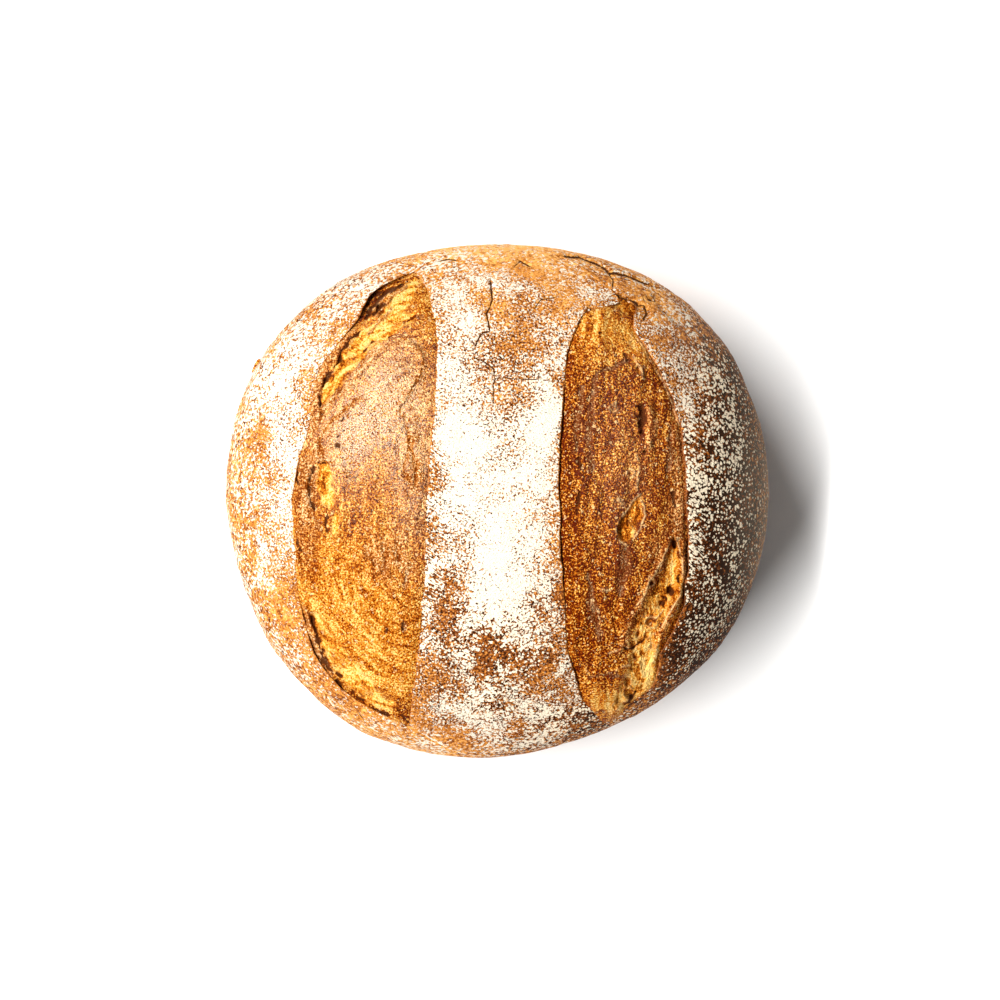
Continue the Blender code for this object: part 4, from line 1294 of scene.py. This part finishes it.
class Finish:
    """A material whose Principled shader is fed by wires."""

    def __init__(self, name):
        self.material = bpy.data.materials.new(name)
        self.material.use_nodes = True
        self.tree = self.material.node_tree
        self.shader = self.tree.nodes["Principled BSDF"]
        self.place = self.node("ShaderNodeTexCoord", {}, {}, "Object")

    def node(self, kind, settings, sockets, output=0):
        """A node: its settings, then a number, a colour or a wire for each socket."""
        node = self.tree.nodes.new(kind)
        for key, value in settings.items():
            setattr(node, key, value)
        for key, value in sockets.items():
            self.feed(node.inputs[key], value)
        return Wire(self, node.outputs[output])

    def feed(self, socket, value):
        if isinstance(value, Wire):
            self.tree.links.new(value.socket, socket)
        else:
            socket.default_value = value

    def field(self, name):
        """A number stored at the vertices."""
        return self.node("ShaderNodeAttribute", {"attribute_name": name}, {}, "Fac")

    def spread(self, size, stretch=(1, 1, 1), turn=0):
        """Coordinates that grow by 1 over this many millimetres, times stretch, turned about the
        vertical by this many degrees."""
        scale = tuple(1 / (size * MM * s) for s in stretch)
        sockets = {"Vector": self.place, "Angle": math.radians(turn)}
        place = self.node("ShaderNodeVectorRotate", {"rotation_type": "Z_AXIS"}, sockets)
        return self.node("ShaderNodeVectorMath", {"operation": "MULTIPLY"}, {0: place, 1: scale})

    def noise(self, size, detail=2.0, rough=0.5, **spread):
        """Noise about 0.5 whose hills are this many millimetres apart."""
        sockets = {"Vector": self.spread(size, **spread), "Scale": 1.0, "Detail": detail, "Roughness": rough}
        return self.node("ShaderNodeTexNoise", {}, sockets)

    def grains(self, size):
        """Grains of this many millimetres: distance from their middles, and a random number for each."""
        cells = self.node("ShaderNodeTexVoronoi", {}, {"Vector": self.spread(size), "Scale": 1.0})
        colour = Wire(self, cells.socket.node.outputs["Color"])
        return cells, self.node("ShaderNodeSeparateColor", {}, {"Color": colour})

    def mix(self, share, low, high):
        """A colour between two colours."""
        low, high = (v if isinstance(v, Wire) else (*v, 1) for v in (low, high))
        return self.node("ShaderNodeMix", {"data_type": "RGBA"}, {0: share, 6: low, 7: high}, 2)

    def blend(self, tone, *stops):
        """A colour from a row of colours, spread evenly from tone 0 to tone 1."""
        colour = stops[0]
        for k, stop in enumerate(stops[1:]):
            colour = self.mix(tone.ramp(k / (len(stops) - 1), (k + 1) / (len(stops) - 1)), colour, stop)
        return colour

    def done(self, colour, roughness, height, distance):
        """Feed the shader: colour, roughness, and a height of at most this distance as bumps."""
        self.feed(self.shader.inputs["Base Color"], colour)
        self.feed(self.shader.inputs["Roughness"], roughness)
        self.feed(self.shader.inputs["Specular IOR Level"], SPECULAR)
        bump = self.node("ShaderNodeBump", {}, {"Height": height, "Distance": distance * MM, "Strength": 1.0})
        self.feed(self.shader.inputs["Normal"], bump)
        print("finish", self.material.name, "has", len(self.tree.nodes), "nodes")
        return self.material


# %% [markdown]
# ### Crust and flour
#
# The flour lies in clots of half a millimetre to two millimetres. Where the crust stretched, the
# clots parted and brown specks show between them. A threshold on fine noise gives just that: the
# field says how much of the surface is white, and the noise says where. On the steep and the browner
# sides the clots are coarser and rounder, and beside the scores they were drawn out into streaks.

# %% Crust finish
FLOUR = (0.76, 0.69, 0.56)
WARM_LIT_FLOUR = (0.88, 0.75, 0.55)  # flour where the crust is browner, most on the shaded right: creamier and paler, painted warm light
# The crust from gold to dark brown
CRUST = ((0.78, 0.40, 0.11), (0.54, 0.20, 0.034), (0.20, 0.052, 0.009), (0.020, 0.006, 0.002))
LIP_COLOUR = (0.38, 0.15, 0.06)
CRACK_SHADE = (0.06, 0.020, 0.006)  # painted shade in a hair crack, where the flour parts

skin = Finish("crust")
flour, bake, pulled, torn = (skin.field(name) for name in ("flour", "bake", "pulled", "torn"))
crack, veil, steep = (skin.field(name) for name in ("crack", "veil", "steep"))
browned = bake.ramp(0.55, 0.85)
coarse = steep.at_least(0.5 * browned)
clots, fine, mottle = skin.noise(0.9, 3.0, 0.65), skin.noise(0.5), skin.noise(0.85, 3.0, 0.65)
clots = clots + coarse * (skin.noise(1.5, 3.0, 0.65) - clots)
mottle = mottle + coarse * (skin.noise(1.4, 3.0, 0.65) - mottle)
# Specks, round and drawn out
streaks = skin.noise(0.62, 2.0, stretch=(5, 1, 2), turn=32)
middle, each = skin.grains(1.25)
dots = 0.5 + 0.55 * (middle - 0.46) + 0.28 * (each - 0.5)
speck = clots * 0.8 + fine * 0.2
speck = speck + browned * 0.55 * (dots - speck)
speck = speck + pulled * 0.7 * (streaks - speck)
hair = 1 - (crack.size() + 0.9 * (skin.noise(1.3) - 0.48)).ramp(0.16, 0.46)
white = (flour + 3.6 * (0.5 - speck) - hair).ramp(0.48, 0.54) * flour.ramp(0.0, 0.04)
# Bare crust, and flour over it
tone = bake + 0.7 * (skin.noise(5.0, 3.0) - 0.5) + (2.2 + 1.4 * bake) * (mottle - 0.5)
tone = tone + 1.6 * flour * (speck - 0.5)
bare = skin.mix(torn, skin.blend(tone, *CRUST), LIP_COLOUR)
# Flour is creamier and paler where the crust is browner, most on the shaded right: painted warm light
dust = skin.mix(bake.ramp(0.5, 0.85), FLOUR, WARM_LIT_FLOUR)
colour = skin.mix((white * (0.72 + 0.28 * fine.ramp(0.60, 0.44))).at_least(veil), bare, dust)
# Painted shade in the hair cracks
colour = skin.mix(hair, colour, CRACK_SHADE)
roughness = 0.6 + 0.35 * white
relief = 0.35 * white + 0.8 * clots + 0.4 * fine - 0.8 * hair
CRUST_BUMP = 0.8
crust.data.materials.append(skin.done(colour, roughness, relief, CRUST_BUMP))

# %% [markdown]
# ### Burst
# The skin of a burst is granular: drops of gelled starch dried on it, with painted glints on the
# middles of a few. It is golden where it opened last and deep brown where it was bare the longest.
# Torn crumb is yellow, and the hollows of its bubbles are darker than the walls between them: painted shade.
# Torn crumb is yellow, with walls between its
# bubbles that are paler than their hollows.

# %% Burst finish
# Skin, torn crumb and mauve skin, each from its palest to its darkest
BAKED = ((0.88, 0.57, 0.17), (0.63, 0.235, 0.018), (0.34, 0.066, 0.001), (0.085, 0.007, 0.0003))
TORN = ((0.91, 0.59, 0.19), (0.83, 0.34, 0.036), (0.45, 0.110, 0.006), (0.13, 0.022, 0.001))
MAUVE = ((0.86, 0.62, 0.35), (0.54, 0.20, 0.034), (0.19, 0.036, 0.003))
PALE = (0.90, 0.60, 0.28)  # dried films and flakes, and the painted highlight along the right ear's rim
GLINT_COLOUR = (0.92, 0.68, 0.36)  # painted glints on the skin
BLOOM = (0.90, 0.73, 0.54)  # pale bloom of dried starch, where painted glints crowd
# painted shade in slits, creases and the deep gap
SLIT_SHADE = (0.075, 0.020, 0.005)

dough = Finish("burst")
torn, mauve, dark, bake, pore = (dough.field(n) for n in ("torn", "mauve", "dark", "bake", "pore"))
film, bloom, fibre = (dough.field(n) for n in ("film", "bloom", "fibre"))
drops, each = dough.grains(0.75)
grain = dough.noise(0.78, 2.5, 0.65)
fine = dough.noise(0.5, 2.0)
patches = dough.noise(4.0, 3.0)
# Skin, with its mauve places
tone = bake + (0.9 + 4.4 * bake) * (grain - 0.5) + 0.5 * (patches - 0.5)
tone = tone + 1.1 * (fibre - 0.5) + 0.3 * (drops - 0.4)
# painted shade darkens the skin in slits, creases and the gap
tone = tone + 0.5 * dark
baked = dough.blend(tone, *BAKED)
baked = dough.mix(bloom * 0.85 * fine.ramp(0.44, 0.56), baked, BLOOM)
tone = 0.45 + 3.8 * (grain - 0.48) + 1.5 * (fibre - 0.5) + 0.6 * (mauve - 1).at_least(0)
baked = dough.mix(mauve, baked, dough.blend(tone, *MAUVE))
# Painted glints and flakes on it
painted_glint = (each + 0.25 * bloom).ramp(0.92, 0.97) * (drops + 0.8 * (fine - 0.5)).ramp(0.46, 0.26)
baked = dough.mix(painted_glint * 0.8, baked, GLINT_COLOUR)
flake, chance = dough.grains(2.3)
flaked = chance.ramp(0.80, 0.88) * (flake + 1.2 * (grain - 0.5)).ramp(0.36, 0.20)
baked = dough.mix(flaked * 0.6, baked, PALE)
# Torn crumb and films, and painted shade in the slits, creases and gap
# the hollows of bubbles and opened bubbles are darkened: painted shade
tone = 0.17 + 0.9 * (bake - 0.47) + 0.50 * pore
tone = tone + 2.5 * (dough.noise(0.9, 3.0, 0.65) - 0.5) + 2.2 * (fibre - 0.5)
tone = tone + 0.7 * dark + 0.9 * (dough.noise(3.0, 2.0) - 0.5)
colour = dough.mix(torn, baked, dough.blend(tone, *TORN))
colour = dough.mix(film * (0.2 + 0.6 * each.ramp(0.1, 0.5)), colour, PALE)
colour = dough.mix(dark.ramp(0.35, 0.85) * (0.8 + 0.6 * (fine - 0.3)), colour, SLIT_SHADE)
roughness = 0.5 + 0.3 * torn + 0.2 * (each - 0.5)
relief = 1.2 * grain + 0.35 * drops.ramp(0.8, 0.1) + 0.3 * fibre + 0.2 * painted_glint
BURST_BUMP = 1.1
material = dough.done(colour, roughness, relief, BURST_BUMP)
for piece in doughs.values():
    piece.data.materials.append(material)

# %% [markdown]
# ## Floor, light and camera
#
# The loaf lies on a white floor under one soft light from the left, high enough to light the top and
# low enough to throw a short shadow to the right. A small lamp would draw every pore with a hard
# shadow. A panel that is narrow from left to right and long from front to back keeps the shadows
# clear one way and softens them the other. White light from all round fills them. The camera looks
# straight down.

# %% Floor
FLOOR_HALF = 3.0  # metres
PAPER = ((0.93, 0.93, 0.93), (0.94, 0.94, 0.94))
floor_mesh = bpy.data.meshes.new("floor")
floor_corners = [(x * FLOOR_HALF, y * FLOOR_HALF, 0) for x, y in ((-1, -1), (1, -1), (1, 1), (-1, 1))]
floor_mesh.from_pydata(floor_corners, [], [(0, 1, 2, 3)])
floor = bpy.data.objects.new("floor", floor_mesh)
bpy.context.scene.collection.objects.link(floor)
paper = Finish("paper")
paper.done(paper.mix(paper.noise(40.0), *PAPER), 0.9, paper.noise(0.6), 0.02)
floor_mesh.materials.append(paper.material)

# %% Light
LIGHT_FROM, LIGHT_UP, LIGHT_AWAY = 175, 60, 2.2  # degrees from +X, degrees over the floor, metres
LIGHT_LONG, LIGHT_SHORT = 4.2, 0.3  # metres
LIGHT_POWER = 172  # watts
LIGHT_COLOUR = (1.0, 0.99, 0.97)
SKY = 0.17

panel = bpy.data.lights.new("soft light", "AREA")
panel.shape = "RECTANGLE"
panel.size, panel.size_y = LIGHT_SHORT, LIGHT_LONG
panel.energy = LIGHT_POWER
panel.color = LIGHT_COLOUR
lamp = bpy.data.objects.new("soft light", panel)
turn, up = math.radians(LIGHT_FROM), math.radians(LIGHT_UP)
towards = (math.cos(turn) * math.cos(up), math.sin(turn) * math.cos(up), math.sin(up))
lamp.location = [LIGHT_AWAY * share for share in towards]
lamp.rotation_euler = (0, math.pi / 2 - up, turn)
bpy.context.scene.collection.objects.link(lamp)
world = bpy.data.worlds.new("white room")
world.use_nodes = True
world.node_tree.nodes["Background"].inputs["Color"].default_value = (1, 1, 1, 1)
world.node_tree.nodes["Background"].inputs["Strength"].default_value = SKY
bpy.context.scene.world = world
bpy.context.scene.view_settings.view_transform = "Standard"
print("the light comes from", LIGHT_FROM, "degrees,", LIGHT_UP, "up")

# %% Camera
CAMERA_HEIGHT = 1.6  # metres over the floor
VIEW_WIDTH = 0.42  # metres that the picture shows at the level of the belly
# The middle of the picture, in millimetres right and back of where the torn edges are measured from
AIM = 0.2
SENSOR_WIDTH = 36  # millimetres
lens = bpy.data.cameras.new("camera")
lens.sensor_width = SENSOR_WIDTH
lens.lens = lens.sensor_width * (CAMERA_HEIGHT - BELLY * MM) / VIEW_WIDTH
camera = bpy.data.objects.new("camera", lens)
camera.location = (AIM * MM - MIDDLE[0] * MM, AIM * MM - MIDDLE[1] * MM, CAMERA_HEIGHT)
bpy.context.scene.collection.objects.link(camera)
bpy.context.scene.camera = camera
print("lens", round(lens.lens, 1), "mm")
